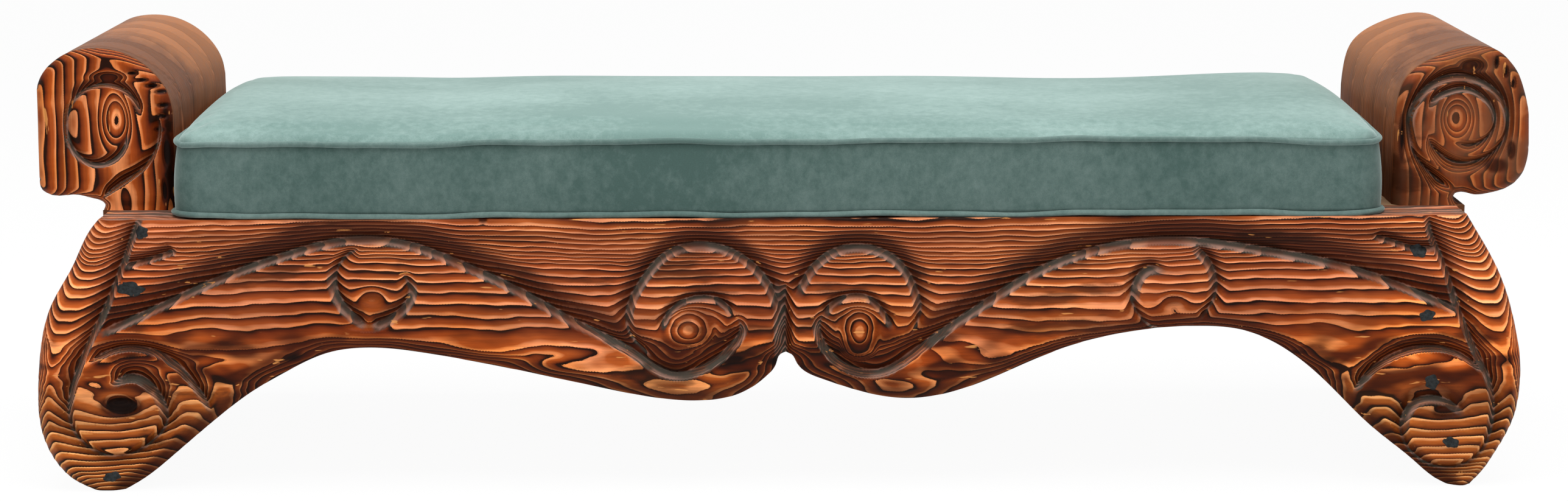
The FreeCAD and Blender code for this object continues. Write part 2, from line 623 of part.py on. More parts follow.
for item in doc.Objects:
    if "Invalid" in item.State or "Error" in item.State:
        raise RuntimeError("%s did not build: %s" % (item.Label, item.State))
for item in nodes:
    if item.Shape.isNull() or not item.Shape.isValid():
        raise RuntimeError("%s has no valid shape" % item.Label)
    if not item.Shape.Solids:
        raise RuntimeError("%s has no solid" % item.Label)

os.makedirs("parts", exist_ok=True)
for item in nodes:
    item.Shape.exportStep("parts/%s.step" % item.Label)
    box = item.Shape.BoundBox
    print("%-22s %2d solids %11.0f mm3  x %7.1f %7.1f  y %7.1f %7.1f  z %6.1f %6.1f" % (
        item.Label, len(item.Shape.Solids), item.Shape.Volume,
        box.XMin, box.XMax, box.YMin, box.YMax, box.ZMin, box.ZMax))
print("%d nodes" % len(nodes))
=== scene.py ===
"""Scroll bench: carved boards, rolled arms and a piped box cushion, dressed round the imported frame.

All lengths are metres unless a name ends in _mm. +X runs along the seat to the viewer's right,
+Y to the back and +Z up. The front board's carved face looks to -Y.
"""
import math
from functools import partial

import bpy
import numpy as np
from bpy.props import FloatProperty, FloatVectorProperty, IntProperty, PointerProperty
from mathutils import Euler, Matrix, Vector
from mathutils.geometry import delaunay_2d_cdt


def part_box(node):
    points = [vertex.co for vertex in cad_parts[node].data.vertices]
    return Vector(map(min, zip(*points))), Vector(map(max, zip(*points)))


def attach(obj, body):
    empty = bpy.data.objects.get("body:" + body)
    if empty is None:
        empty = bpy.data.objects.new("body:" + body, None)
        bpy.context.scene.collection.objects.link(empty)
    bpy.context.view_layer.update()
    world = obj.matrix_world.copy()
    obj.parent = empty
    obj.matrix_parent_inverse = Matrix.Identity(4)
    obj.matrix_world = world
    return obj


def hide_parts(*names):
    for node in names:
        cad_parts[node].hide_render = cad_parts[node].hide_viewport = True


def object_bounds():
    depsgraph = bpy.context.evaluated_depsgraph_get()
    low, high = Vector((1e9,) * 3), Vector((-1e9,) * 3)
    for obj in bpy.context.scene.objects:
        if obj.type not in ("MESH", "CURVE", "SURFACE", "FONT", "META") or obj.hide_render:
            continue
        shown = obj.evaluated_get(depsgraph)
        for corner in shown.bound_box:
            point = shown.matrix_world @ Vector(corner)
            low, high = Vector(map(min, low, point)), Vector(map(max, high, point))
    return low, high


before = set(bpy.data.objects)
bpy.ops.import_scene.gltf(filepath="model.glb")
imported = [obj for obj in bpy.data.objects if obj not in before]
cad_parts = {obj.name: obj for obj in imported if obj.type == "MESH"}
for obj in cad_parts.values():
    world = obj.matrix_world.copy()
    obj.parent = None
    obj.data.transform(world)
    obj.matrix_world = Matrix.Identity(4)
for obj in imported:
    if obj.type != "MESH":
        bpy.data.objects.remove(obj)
CAD_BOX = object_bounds()

bl_info = {
    "name": "Scroll bench",
    "version": (1, 0, 0),
    "blender": (4, 5, 0),
    "location": "3D View > Sidebar > Bench",
    "description": "Makes the carved boards, rolled arms, box cushion and studio of a scroll bench",
    "category": "Object",
}

MM = 0.001
HALF_WIDTH = CAD_BOX[1][0]
BOARD_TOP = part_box("front_board")[1][2]
ARM_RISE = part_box("arm_left_plank_1")[1][2] - BOARD_TOP
FRONT_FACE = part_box("front_board")[0][1]
BOARD_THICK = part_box("front_board")[1][1] - FRONT_FACE
BACK_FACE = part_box("back_board")[1][1]
PLANKS_PER_ARM = 5
FLOOR_REACH = 30.0
TINY = 1e-6

# Board outline, as shares of half the width and of the board's height
LEFT_SIDE = ((-0.906, 1.0), (-0.916, 0.968), (-0.943, 0.83), (-0.975, 0.68), (-0.99, 0.54), (-0.997, 0.37),
             (-0.995, 0.22), (-0.978, 0.104), (-0.955, 0.036), (-0.93, 0.0))
LEFT_FOOT = ((-0.93, 0.0), (-0.885, 0.0))
LEFT_ARCH = ((-0.885, 0.0), (-0.86, 0.04), (-0.82, 0.125), (-0.749, 0.287), (-0.709, 0.367), (-0.667, 0.433),
             (-0.61, 0.505), (-0.553, 0.525), (-0.468, 0.5), (-0.355, 0.44), (-0.242, 0.372), (-0.157, 0.33),
             (-0.1, 0.326), (-0.06, 0.35), (-0.021, 0.422), (-0.011, 0.46), (-0.006, 0.493), (0.002, 0.5))
RIGHT_ARCH = ((0.002, 0.5), (0.01, 0.493), (0.016, 0.465), (0.05, 0.403), (0.1, 0.358), (0.157, 0.331),
              (0.213, 0.346), (0.298, 0.43), (0.383, 0.525), (0.439, 0.564), (0.496, 0.587), (0.552, 0.594),
              (0.609, 0.579), (0.666, 0.51), (0.724, 0.382), (0.784, 0.221), (0.843, 0.09), (0.875, 0.02),
              (0.89, 0.0))
RIGHT_FOOT = ((0.89, 0.0), (0.92, 0.0))
RIGHT_SIDE = ((0.92, 0.0), (0.935, 0.045), (0.953, 0.12), (0.967, 0.19), (0.977, 0.263), (0.982, 0.37),
              (0.981, 0.47), (0.975, 0.56), (0.965, 0.668), (0.944, 0.812), (0.913, 0.955), (0.903, 1.0))
TOP_EDGE = ((0.903, 1.0), (-0.906, 1.0))
BOARD_RUNS = (LEFT_SIDE, LEFT_FOOT, LEFT_ARCH, RIGHT_ARCH, RIGHT_FOOT, RIGHT_SIDE, TOP_EDGE)

# Bevels of both boards: width, depth, power of the curve and how far they are darkened by char and painted
# shade
FOOT_BEVEL = (7 * MM, 5 * MM, 1.8, 0.8)
TOP_BEVEL = (4 * MM, 2.5 * MM, 1.8, 0.0)

# Spacing of points along a groove, along a bevel and over a back, and how sharply cuts join
ROUTE_PITCH = 4 * MM
BEVEL_PITCH = 6 * MM
BACK_PITCHES = (40 * MM, 40 * MM)
JOIN_POWER = 3.0

# Arm outlines, as shares of half the width and of the arm's rise over the board
LEFT_ARM_OUTLINE = (
    ((-0.915, 0.0), (-0.818, 0.0)),
    ((-0.818, 0.0), (-0.818, 0.6)),
    ((-0.818, 0.6), (-0.822, 0.7), (-0.83, 0.778), (-0.845, 0.864), (-0.867, 0.94), (-0.891, 0.985),
     (-0.913, 1.0), (-0.933, 0.997), (-0.951, 0.98), (-0.963, 0.955), (-0.973, 0.924), (-0.983, 0.884),
     (-0.992, 0.828), (-0.998, 0.758)),
    ((-0.998, 0.758), (-1.0, 0.19)),
    ((-1.0, 0.19), (-0.997, 0.126), (-0.988, 0.096), (-0.97, 0.086), (-0.95, 0.091), (-0.931, 0.071),
     (-0.919, 0.055), (-0.913, 0.03), (-0.915, 0.0)),
)
RIGHT_ARM_OUTLINE = (
    ((0.818, 0.0), (0.909, 0.0)),
    ((0.909, 0.0), (0.903, 0.02), (0.901, 0.058), (0.91, 0.076), (0.927, 0.061), (0.95, 0.071), (0.971, 0.1),
     (0.987, 0.157), (0.997, 0.25), (1.0, 0.35)),
    ((1.0, 0.35), (0.998, 0.58)),
    ((0.998, 0.58), (0.99, 0.717), (0.98, 0.828), (0.969, 0.894), (0.955, 0.95), (0.935, 0.98), (0.91, 0.975),
     (0.875, 0.924), (0.845, 0.848), (0.831, 0.778), (0.822, 0.66), (0.818, 0.5)),
    ((0.818, 0.5), (0.818, 0.0)),
)

# Carved grooves: route in shares, then the long sloping side (to the left of the route), the short
# steep side and the depth in millimetres
FRONT_GROOVES = (
    (((-0.914, 0.588), (-0.853, 0.66), (-0.76, 0.778), (-0.65, 0.887), (-0.572, 0.934), (-0.49, 0.91),
      (-0.424, 0.84), (-0.35, 0.743), (-0.272, 0.62), (-0.196, 0.507), (-0.145, 0.43), (-0.105, 0.463),
      (-0.071, 0.537), (-0.058, 0.6), (-0.064, 0.65)), 38, 10, 13),
    (((0.054, 0.67), (0.047, 0.61), (0.056, 0.531),
      (0.081, 0.463), (0.119, 0.436), (0.177, 0.522), (0.258, 0.678), (0.339, 0.815), (0.42, 0.893),
      (0.503, 0.922), (0.627, 0.887), (0.727, 0.833), (0.829, 0.737), (0.9, 0.651)), 38, 10, 13),
    (((-0.9, 0.4), (-0.865, 0.43), (-0.832, 0.352), (-0.825, 0.266), (-0.849, 0.176), (-0.895, 0.125),
      (-0.937, 0.17), (-0.955, 0.25), (-0.95, 0.403), (-0.926, 0.561), (-0.902, 0.69), (-0.88, 0.83),
      (-0.857, 0.985), (-0.85, 1.03)), 27, 10, 14),
    (((0.853, 1.03), (0.853, 0.985), (0.872, 0.848), (0.895, 0.681), (0.922, 0.507), (0.944, 0.373),
      (0.946, 0.221), (0.928, 0.107), (0.886, 0.063), (0.843, 0.116), (0.824, 0.233), (0.84, 0.315),
      (0.878, 0.325), (0.912, 0.263)), 27, 10, 14),
    (((-0.928, 0.478), (-0.886, 0.53), (-0.83, 0.512), (-0.786, 0.4), (-0.762, 0.29)), 24, 6.5, 12),
    (((0.754, 0.346), (0.79, 0.455), (0.852, 0.519), (0.903, 0.487), (0.932, 0.421)), 24, 6.5, 12),
    (((-0.172, 0.481), (-0.203, 0.57), (-0.21, 0.65), (-0.194, 0.761), (-0.15, 0.887), (-0.104, 0.91),
      (-0.057, 0.869), (-0.016, 0.75), (-0.001, 0.636)), 26, 11, 11),
    (((0.012, 0.704), (0.034, 0.818), (0.067, 0.887), (0.109, 0.899), (0.149, 0.854), (0.176, 0.74),
      (0.181, 0.66), (0.166, 0.561)), 26, 11, 11),
    (((-0.56, 0.9), (-0.588, 0.839), (-0.593, 0.758), (-0.576, 0.669), (-0.551, 0.612)), 16, 12, 10),
    (((-0.551, 0.612), (-0.516, 0.66), (-0.497, 0.734), (-0.505, 0.81)), 15, 12, 9),
    (((0.543, 0.9), (0.568, 0.82), (0.572, 0.72), (0.548, 0.61)), 16, 12, 10),
    (((0.548, 0.61), (0.51, 0.575), (0.476, 0.624), (0.46, 0.72), (0.48, 0.815),
      (0.507, 0.812)), 15, 12, 9),
    (((-0.166, 0.59), (-0.155, 0.655), (-0.131, 0.704), (-0.104, 0.716), (-0.079, 0.692),
      (-0.066, 0.64)), 12, 8, 8),
    (((0.05, 0.63), (0.059, 0.68), (0.08, 0.714), (0.108, 0.716), (0.13, 0.668), (0.147, 0.59)), 12, 8, 8),
    (((0.002, 0.77), (0.001, 0.6), (0.002, 0.47)), 16, 16, 16),
    (((-0.874, 0.836), (-0.84, 0.862), (-0.802, 0.896)), 15, 7, 9),
    (((0.776, 0.931), (0.806, 0.91), (0.827, 0.89), (0.863, 0.887)), 15, 7, 9),
)
LEFT_ARM_GROOVES = (
    (((-0.918, 0.076), (-0.889, 0.17), (-0.86, 0.262), (-0.843, 0.37), (-0.836, 0.48), (-0.836, 0.6)),
     14, 5, 9),
    (((-0.953, 0.66), (-0.947, 0.7), (-0.93, 0.759), (-0.902, 0.784), (-0.877, 0.742), (-0.86, 0.626),
      (-0.858, 0.58)), 13, 5, 7),
    (((-0.93, 0.745), (-0.949, 0.676), (-0.958, 0.559), (-0.956, 0.442), (-0.944, 0.342), (-0.923, 0.292),
      (-0.902, 0.309), (-0.884, 0.392), (-0.879, 0.492)), 12, 6, 7),
)
RIGHT_ARM_GROOVES = (
    (((0.898, 0.091), (0.881, 0.146), (0.862, 0.227), (0.845, 0.328), (0.838, 0.444), (0.836, 0.545),
      (0.843, 0.641), (0.858, 0.732), (0.878, 0.79), (0.902, 0.81), (0.928, 0.785), (0.95, 0.727),
      (0.965, 0.641), (0.971, 0.525), (0.967, 0.414), (0.951, 0.318), (0.928, 0.268), (0.899, 0.268),
      (0.88, 0.318), (0.866, 0.394), (0.862, 0.449)), 16, 9, 12),
    (((0.86, 0.58), (0.868, 0.66), (0.886, 0.71), (0.91, 0.73), (0.932, 0.69), (0.949, 0.606),
      (0.953, 0.525), (0.945, 0.43), (0.92, 0.372), (0.896, 0.39)), 11, 7, 8),
)

# Dips: centre in shares, half-width, half-height and depth in millimetres, and how far they are darkened by
# char and painted shade
FRONT_DIPS = (
    ((-0.546, 0.722), 17, 12, 9, 0.35),
    ((-0.553, 0.61), 24, 5, 8, 0.5),
    ((0.517, 0.69), 17, 13, 9, 0.35),
    ((-0.888, 0.29), 40, 24, 7, 0.2),
    ((-0.885, 0.314), 23, 13, 14, 2.4),
    ((0.003, 0.58), 8, 38, 4, 1.15),
    ((0.885, 0.25), 34, 20, 6, 0.2),
    ((0.884, 0.275), 19, 9, 10, 1.2),
    ((-0.397, 1.0), 6, 6, 6, 1.0),
    ((-0.56, 0.955), 105, 13, 0, 1.24),
)
LEFT_ARM_DIPS = (
    ((-0.893, 0.56), 17, 30, 8, 0.1),
    ((-0.902, 0.825), 23, 7, 6, 1.0),
    ((-0.867, 0.851), 7, 2.6, 4, 1.7),
    ((-0.8545, 0.809), 8, 2.6, 4, 1.7),
    ((-0.842, 0.772), 9, 3, 5, 1.8),
    ((-0.83, 0.734), 9, 2.8, 5, 1.8),
    ((-0.828, 0.651), 8, 3.2, 5, 1.8),
    ((-0.831, 0.584), 8, 3.2, 5, 1.8),
    ((-0.835, 0.5), 7, 3.5, 4, 1.8),
    ((-0.826, 0.36), 6, 22, 4, 1.9),
    ((-0.831, 0.12), 4, 16, 3, 1.9),
)
RIGHT_ARM_DIPS = (
    ((0.903, 0.54), 20, 22, 7, 0.3),
    ((0.92, 0.862), 17, 9, 9, 1.25),
    ((0.951, 0.887), 3, 8, 4, 1.6),
    ((0.964, 0.828), 3, 8, 4, 1.6),
    ((0.975, 0.76), 3, 8, 4, 1.4),
    ((0.955, 0.245), 16, 10, 3, 1.0),
    ((0.975, 0.34), 5, 12, 3, 1.3),
    ((0.828, 0.43), 4, 30, 3, 1.6),
)
# Eyes: bowl's centre, half-width, half-height and depth, then the knob's centre, half-width and
# half-height
FRONT_EYES = (
    ((-0.115, 0.605), 30, 29, 11, (-0.128, 0.594), 16, 14),
    ((0.098, 0.597), 26, 29, 11, (0.1, 0.582), 12, 15),
)

# Half-height of the burnt band at the heart, then height and half-height of the darker band below
# the seat, in millimetres
HEART_BAND_MM = 42
SEAT_BAND_MM = (315, 10)

# Heart of the log that each piece was sawn from (behind the face, then height), how strongly a cut
# moves its growth rings, and the rings' radii, all in millimetres
BOARD_HEART_MM = (83, 160)
BOARD_PULL_MM = 100
BOARD_RINGS_MM = (30, 38, 45, 52, 58, 63.5, 69, 74, 78.5, 82, 85.8, 94.5, 101.5, 110, 120, 129, 137.5, 145,
                  150.5, 154.4, 158, 162.4, 167, 173, 178, 184, 189, 197, 206, 214, 223, 231)
ARM_HEART_MM = 70
ARM_PULL_MM = 95
ARM_RINGS_MM = (16, 27, 36, 43, 48, 53.5, 60, 64, 68, 71.5, 76, 83, 93, 101, 112, 119, 130, 138, 149, 157,
                168, 176, 188, 199)
RING_STEP_SHARE = 0.2
WIDE_RING_MM = 9
EYE_FIRST_RING = 9
EYE_RING_SHARES = (0.85, 1.4)
EYE_HEART_RING = 8.12

# Rises and hollows of the cushion's crown: place along the seat, width and height in millimetres
CROWN_WAVES = ((-0.72, 0.5, 4), (-0.28, 0.1, 2.5), (-0.43, 0.1, -4.5), (0.4, 0.28, -6.5), (0.63, 0.1, 5))

# Cushion in plan: radius of its corners, and how far its sides are drawn in
CUSHION_CORNER = 42 * MM
SIDE_DRAW = 1.5 * MM

# Cushion in height: how far in the crown rises from every edge, how far in it still rises from both
# ends, how far the upper seam lies over the solid boxing and waves, and its drop at the left and
# right corners
EDGE_BULGE = 16 * MM
END_BULGE = 75 * MM
SEAM_LIFT = 7 * MM
SEAM_WAVE = 1.2 * MM
CORNER_DROPS_MM = (7, 4)

# How far the lower front corners spread, how far the boxing bows out, how far the foam lies inside
# and how many sides the piping has
CORNER_SPREAD = 6 * MM
BOXING_BOW = 3 * MM
FOAM_INSET = 4 * MM
PIPING_SIDES = 14

# Half the span between the pile's dark and light side, and half the spacing of the zip's teeth
PILE_SPAN = 0.33
TOOTH_PITCH = 1.2 * MM

# Dark filler over the long screws: place in shares, half-width and half-height in millimetres
FILLER_SPOTS = (
    ((-0.847, 0.958), 9, 7),
    ((-0.866, 0.752), 17, 9),
    ((-0.9, 0.055), 10, 6),
    ((0.838, 0.872), 9, 8),
    ((0.852, 0.636), 9, 7),
    ((0.862, 0.388), 9, 9),
    ((0.89, 0.164), 9, 7),
)
# Loops of points of each piece of filler: their share of its size and how proud of the board they
# are in millimetres
FILLER_LOOPS = ((0.35, 0.9), (0.7, 0.8), (0.92, 0.5), (1.0, 0.1), (1.0, -4.0))

# Materials of the nodes that keep their own mesh, by a part of their names
INNER_FINISHES = (
    ("_screws", "bench_screw_steel"),
    ("back_screw_plugs", "bench_filler"),
    ("end_panel", "bench_panel_wood"),
    ("deck_board", "bench_seat_wood"),
    ("_cleat", "bench_seat_wood"),
    ("cross_bearer", "bench_bearer_wood"),
    ("arm_dowels", "bench_dowel_wood"),
    ("zipper_tape", "bench_zip_tape"),
    ("zipper_slider", "bench_zip_metal"),
)

LengthProperty = partial(FloatProperty, unit="LENGTH")
AngleProperty = partial(FloatProperty, subtype="ANGLE")
ColourProperty = partial(FloatVectorProperty, subtype="COLOR", size=3)


class BenchCarving(bpy.types.PropertyGroup):
    """Sizes of the carved and brushed wood."""
    row_pitch: LengthProperty(name="Row pitch", description="Height between rows of carved points",
                              default=1.5 * MM, min=0.5 * MM)
    column_pitch: LengthProperty(name="Column pitch", description="Width between columns of carved points",
                                 default=3.5 * MM, min=1 * MM)
    back_pitch: LengthProperty(name="Back pitch", description="Spacing of points on the plain back board",
                               default=2.6 * MM, min=1 * MM)
    relief: LengthProperty(name="Brushed relief", description="Depth brushed out between growth rings",
                           default=2.2 * MM, min=0)
    side_round: LengthProperty(name="Leg rounding", description="Width of the rounded outer edges",
                               default=19 * MM, min=1 * MM)
    arch_bevel: LengthProperty(name="Arch bevel", description="Width of the bevel along the lower edge",
                               default=21 * MM, min=1 * MM)
    arm_round: LengthProperty(name="Arm rounding", description="Width of the rounding of an arm's face",
                              default=12 * MM, min=1 * MM)


class BenchWood(bpy.types.PropertyGroup):
    """Colours of the burnt and lacquered wood."""
    # Light early wood, tinted pink to paint the highlight at the start of each ring
    early: ColourProperty(name="Early wood", description="Light part of a growth ring",
                          default=(0.80, 0.295, 0.145))
    middle: ColourProperty(name="Middle wood", description="Middle of a growth ring",
                           default=(0.35, 0.076, 0.017))
    late: ColourProperty(name="Late wood", description="Reddish brown part of a growth ring",
                         default=(0.115, 0.019, 0.0045))
    line: ColourProperty(name="Ring line", description="Dark line that ends a growth ring",
                         default=(0.016, 0.0045, 0.002))
    # Dark of charred wood, also used for painted shade on flanks that face down and in hollows
    burnt: ColourProperty(name="Burnt wood", description="Flanks of the grooves",
                          default=(0.026, 0.0075, 0.003))
    # Painted sheen: greyish reflection of the lamp overhead, painted on steep walls that face up
    painted_sheen: ColourProperty(name="Painted sheen", description="Greyish bloom of lacquer on steep walls",
                          default=(0.30, 0.165, 0.125))
    roll: ColourProperty(name="Roll", description="Smooth golden brown of the arms' rolls",
                         default=(0.28, 0.112, 0.043))
    smoke: ColourProperty(name="Smoke", description="Greyish brown patches of the arms' rolls",
                          default=(0.088, 0.038, 0.019))
    raw: ColourProperty(name="Seat boards", description="Plain softwood under the cushion",
                        default=(0.30, 0.165, 0.075))


class BenchCushion(bpy.types.PropertyGroup):
    """Sizes and colours of the cushion."""
    pitch: LengthProperty(name="Pitch", description="Spacing of the cover's points before smoothing",
                          default=9.5 * MM, min=3 * MM)
    crown: LengthProperty(name="Crown", description="Crown that the cover is cut to",
                          default=25 * MM, min=0)
    swell: LengthProperty(name="Swell", description="Most that the filling may push the cover out",
                          default=3 * MM, min=0)
    pressure: FloatProperty(name="Pressure", description="Pressure of the filling", default=4.0, min=0)
    frames: IntProperty(name="Frames", description="Steps of the cloth simulation", default=18, min=2)
    cover_thick: LengthProperty(name="Cover", description="Thickness of the velvet with its backing",
                                default=1.6 * MM, min=0.2 * MM)
    piping_radius: LengthProperty(name="Piping", description="Radius of the piping",
                                  default=3.4 * MM, min=1 * MM)
    velvet: ColourProperty(name="Velvet", description="Body colour of the velvet",
                           default=(0.066, 0.130, 0.114))
    # Lighter velvet colour: the pile's lighter streaks, and the painted light of the top panel, which shows
    # mostly this colour
    pile_and_painted_light: ColourProperty(name="Pile", description="Velvet where the pile leans towards the light",
                               default=(0.202, 0.290, 0.268))


class BenchStage(bpy.types.PropertyGroup):
    """Camera, floor and lamps."""
    camera_back: LengthProperty(name="Camera distance", description="Camera in front of the bench's middle",
                                default=3.966)
    camera_height: LengthProperty(name="Camera height", description="Camera over the floor", default=0.9933)
    camera_pitch: AngleProperty(name="Camera pitch", description="How far the camera looks down",
                                default=math.radians(10.67))
    camera_roll: AngleProperty(name="Camera roll", description="Turn of the picture",
                               default=math.radians(-0.22))
    lens: FloatProperty(name="Lens", description="Focal length on a 36 mm wide sensor", default=71.92)
    world_level: FloatProperty(name="Sky", description="Strength of the even light", default=0.55)
    top_power: FloatProperty(name="Top lamp", description="Power of the lamp overhead in watts",
                             default=110.0)
    front_power: FloatProperty(name="Front lamp", description="Power of the lamp in front in watts",
                               default=18.0)


# Lines and fields

def smooth_line(points, pitch):
    """Points about a pitch apart on a smooth curve through the given ones."""
    points = np.array(points, float)
    gaps = np.linalg.norm(np.diff(points, axis=0), axis=1)
    marks = np.concatenate([[0.0], np.cumsum(gaps)])
    count = len(points)
    system = np.eye(count)
    bends = np.zeros((count, 2))
    for i in range(1, count - 1):
        system[i, i - 1:i + 2] = gaps[i - 1], 2 * (gaps[i - 1] + gaps[i]), gaps[i]
        bends[i] = 6 * ((points[i + 1] - points[i]) / gaps[i] - (points[i] - points[i - 1]) / gaps[i - 1])
    bends = np.linalg.solve(system, bends)
    spots = np.linspace(0, marks[-1], max(2, round(marks[-1] / pitch) + 1))
    i = np.clip(np.searchsorted(marks, spots, "right") - 1, 0, count - 2)
    gap = gaps[i][:, None]
    after = spots[:, None] - marks[i][:, None]
    before = gap - after
    return ((bends[i] * before ** 3 + bends[i + 1] * after ** 3) / (6 * gap)
            + (points[i] / gap - bends[i] * gap / 6) * before
            + (points[i + 1] / gap - bends[i + 1] * gap / 6) * after)


def board_spots(shares):
    """Points of a board, in x and z, from their shares."""
    return np.array(shares) * (HALF_WIDTH, BOARD_TOP)


def arm_spots(shares):
    """Points of an arm, in x and z, from their shares."""
    return np.array(shares) * (HALF_WIDTH, ARM_RISE) + (0, BOARD_TOP)


def near_line(spots, line):
    """For each spot: distance to a line (positive on its left), how far along it lies in metres, and
    how much the way to the line leads upwards."""
    best = np.full(len(spots), np.inf)
    side = np.ones(len(spots))
    along = np.zeros(len(spots))
    climb = np.zeros(len(spots))
    passed = 0.0
    for start, end in zip(line[:-1], line[1:]):
        run = end - start
        length = np.hypot(*run)
        if length == 0:
            continue
        off = spots - start
        share = np.clip(off @ run / length ** 2, 0, 1)
        gap = off - share[:, None] * run
        far = np.hypot(*gap.T)
        nearer = far < best
        best[nearer] = far[nearer]
        side[nearer] = np.sign(run[0] * off[:, 1] - run[1] * off[:, 0])[nearer]
        along[nearer] = passed + share[nearer] * length
        climb[nearer] = -gap[nearer, 1]
        passed += length
    side[side == 0] = 1
    return best * side, along, climb / np.maximum(best, TINY)


def from_rim(spots, outline):
    """Distance of each spot to a closed outline."""
    return np.abs(near_line(spots, np.concatenate([outline, outline[:1]]))[0])


def inside(spots, outline):
    """Whether each spot lies inside a closed outline."""
    found = np.zeros(len(spots), bool)
    for start, end in zip(outline, np.roll(outline, -1, axis=0)):
        spans = (start[1] > spots[:, 1]) != (end[1] > spots[:, 1])
        if spans.any():
            cross = start[0] + (spots[:, 1] - start[1]) * (end[0] - start[0]) / (end[1] - start[1])
            found ^= spans & (spots[:, 0] < cross)
    return found


def wander(spots, lengths, seed, waves=7):
    """Irregular smooth value of about -1 to 1 at each spot, which changes over the given lengths."""
    dice = np.random.default_rng(seed)
    total = np.zeros(len(spots))
    for _ in range(waves):
        turn = dice.normal(size=len(lengths)) / np.array(lengths) * 3.0
        total += np.sin(spots @ turn + dice.uniform(0, 2 * math.pi))
    return total / math.sqrt(waves)


def fade(share):
    """Smooth step from 0 to 1."""
    share = np.clip(share, 0, 1)
    return share * share * (3 - 2 * share)


def stretched(spots, centre, wide_mm, high_mm):
    """How far each spot is from a centre, in half-widths and half-heights."""
    return np.hypot(*((spots - centre) / (wide_mm * MM, high_mm * MM)).T)


def mound(spots, centre, wide_mm, high_mm, power):
    """Round hump of height 1 that falls to a third at its half-width and half-height."""
    return np.exp(-stretched(spots, centre, wide_mm, high_mm) ** power)


def groove_cut(spots, line, long_side, short_side):
    """How deep a groove is at each spot as a share, how far its flank is darkened and how much of a wall it
    is.

    Its long slope is charred and carries painted shade, darkest where it faces down; the wall share
    counts only where the wall faces up, for a painted sheen."""
    gap, along, climb = near_line(spots, line)
    length = np.hypot(*np.diff(line, axis=0).T).sum()
    ends = fade(np.minimum(along, length - along) / min(30 * MM, length / 6) + 0.2)
    slope = np.clip(1 - gap / (long_side * (0.4 + 0.6 * ends)), 0, 1) ** 1.6
    step = np.clip(1 + gap / short_side, 0, 1)
    step = 0.5 * step + 0.5 * fade(step)
    sloping = gap >= 0
    # Painted shade: the long slope is darkened most where it faces down and least where it faces up
    shaded = 0.66 - 0.495 * climb + 0.245 * climb ** 2
    char_and_shade_level = np.where(sloping, shaded * slope ** 0.56, 0.85 * step)
    # Wall share for the painted sheen: the steep side and a thin band of the long side at the groove's
    # bottom, only where they face up
    ridge = np.where(sloping, np.exp(-(gap / (2.0 * MM)) ** 2), fade(5 * step))
    return np.where(sloping, slope, step) * ends, char_and_shade_level * ends, ridge * ends * fade((climb + 0.7) / 1.3)


def carved(spots, cuts, to_spots, bevels):
    """Depth of the carving at each spot, how far its flank is darkened by char and painted shade, and how
    much of a steep wall facing up it is, which takes a painted sheen.

    Cuts are the grooves, dips and eyes, bevels pairs of a line and its (width, depth, power, darkening).
    Cuts that overlap are joined without a crease."""
    grooves, dips, eyes = cuts
    depth, burnt, wall = np.zeros((3, len(spots)))
    for route, long_mm, short_mm, depth_mm in grooves:
        line = smooth_line(to_spots(route), ROUTE_PITCH)
        reach = max(long_mm, short_mm) * MM
        near = ((spots > line.min(axis=0) - reach) & (spots < line.max(axis=0) + reach)).all(axis=1)
        share, char_and_shade_level, steep = groove_cut(spots[near], line, long_mm * MM, short_mm * MM)
        depth[near] += (share * depth_mm * MM) ** JOIN_POWER
        burnt[near] = np.maximum(burnt[near], char_and_shade_level)
        wall[near] = np.maximum(wall[near], steep)
    hollows = [(mound(spots, to_spots(centre), wide_mm, high_mm, 3), depth_mm * MM, char_and_shade_level, 1)
               for centre, wide_mm, high_mm, depth_mm, char_and_shade_level in dips]
    for bowl, bowl_wide_mm, bowl_high_mm, depth_mm, knob, wide_mm, high_mm in eyes:
        share = mound(spots, to_spots(bowl), bowl_wide_mm, bowl_high_mm, 4)
        share *= 1 - 0.9 * mound(spots, to_spots(knob), wide_mm, high_mm, 5)
        hollows.append((share, depth_mm * MM, 0.5, 1))
    for line, (width, most, curve, char_and_shade_level) in bevels:
        share = np.clip(1 - np.abs(near_line(spots, line)[0]) / width, 0, 1) ** curve
        hollows.append((share, most, char_and_shade_level, 0.5))
    for share, most, char_and_shade_level, power in hollows:
        depth += (share * most) ** JOIN_POWER
        burnt = np.maximum(burnt, char_and_shade_level * share ** power)
    return depth ** (1 / JOIN_POWER), burnt, wall


def ring_count(radius, rings_mm):
    """How many growth rings lie inside a radius, with the part of the last one."""
    return np.interp(radius / MM, rings_mm, np.arange(len(rings_mm), dtype=float))


def brushed_out(count, rings_mm, relief):
    """How deep the brush has gone: late wood stands proud, early wood just past a ring's end is lowest."""
    part = count - np.floor(count)
    drop = fade(part / RING_STEP_SHARE)
    climb = np.clip((part - RING_STEP_SHARE) / (1 - RING_STEP_SHARE), 0, 1) ** 1.3
    widths_mm = np.diff(np.array(rings_mm))
    width_mm = widths_mm[np.clip(count.astype(int), 0, len(widths_mm) - 1)]
    return relief * np.clip(width_mm / WIDE_RING_MM, 0.25, 1.1) * drop * (1 - climb)


def heart_tone(points):
    """How dark a board is: burnt in blotches where its face lies nearest the heart, and darker in a band
    below the seat.
    """
    height_mm = points[:, 2] / MM
    near = np.exp(-((height_mm - BOARD_HEART_MM[1]) / HEART_BAND_MM) ** 2)
    seat_side = 0.42 * np.exp(-((height_mm - SEAT_BAND_MM[0]) / SEAT_BAND_MM[1]) ** 2)
    blotches = 0.56 + 0.45 * wander(points, (0.16, 0.1, 0.04), 71)
    blotches += 0.5 * wander(points, (0.045, 0.1, 0.013), 72)
    return np.maximum(near * blotches, seat_side)


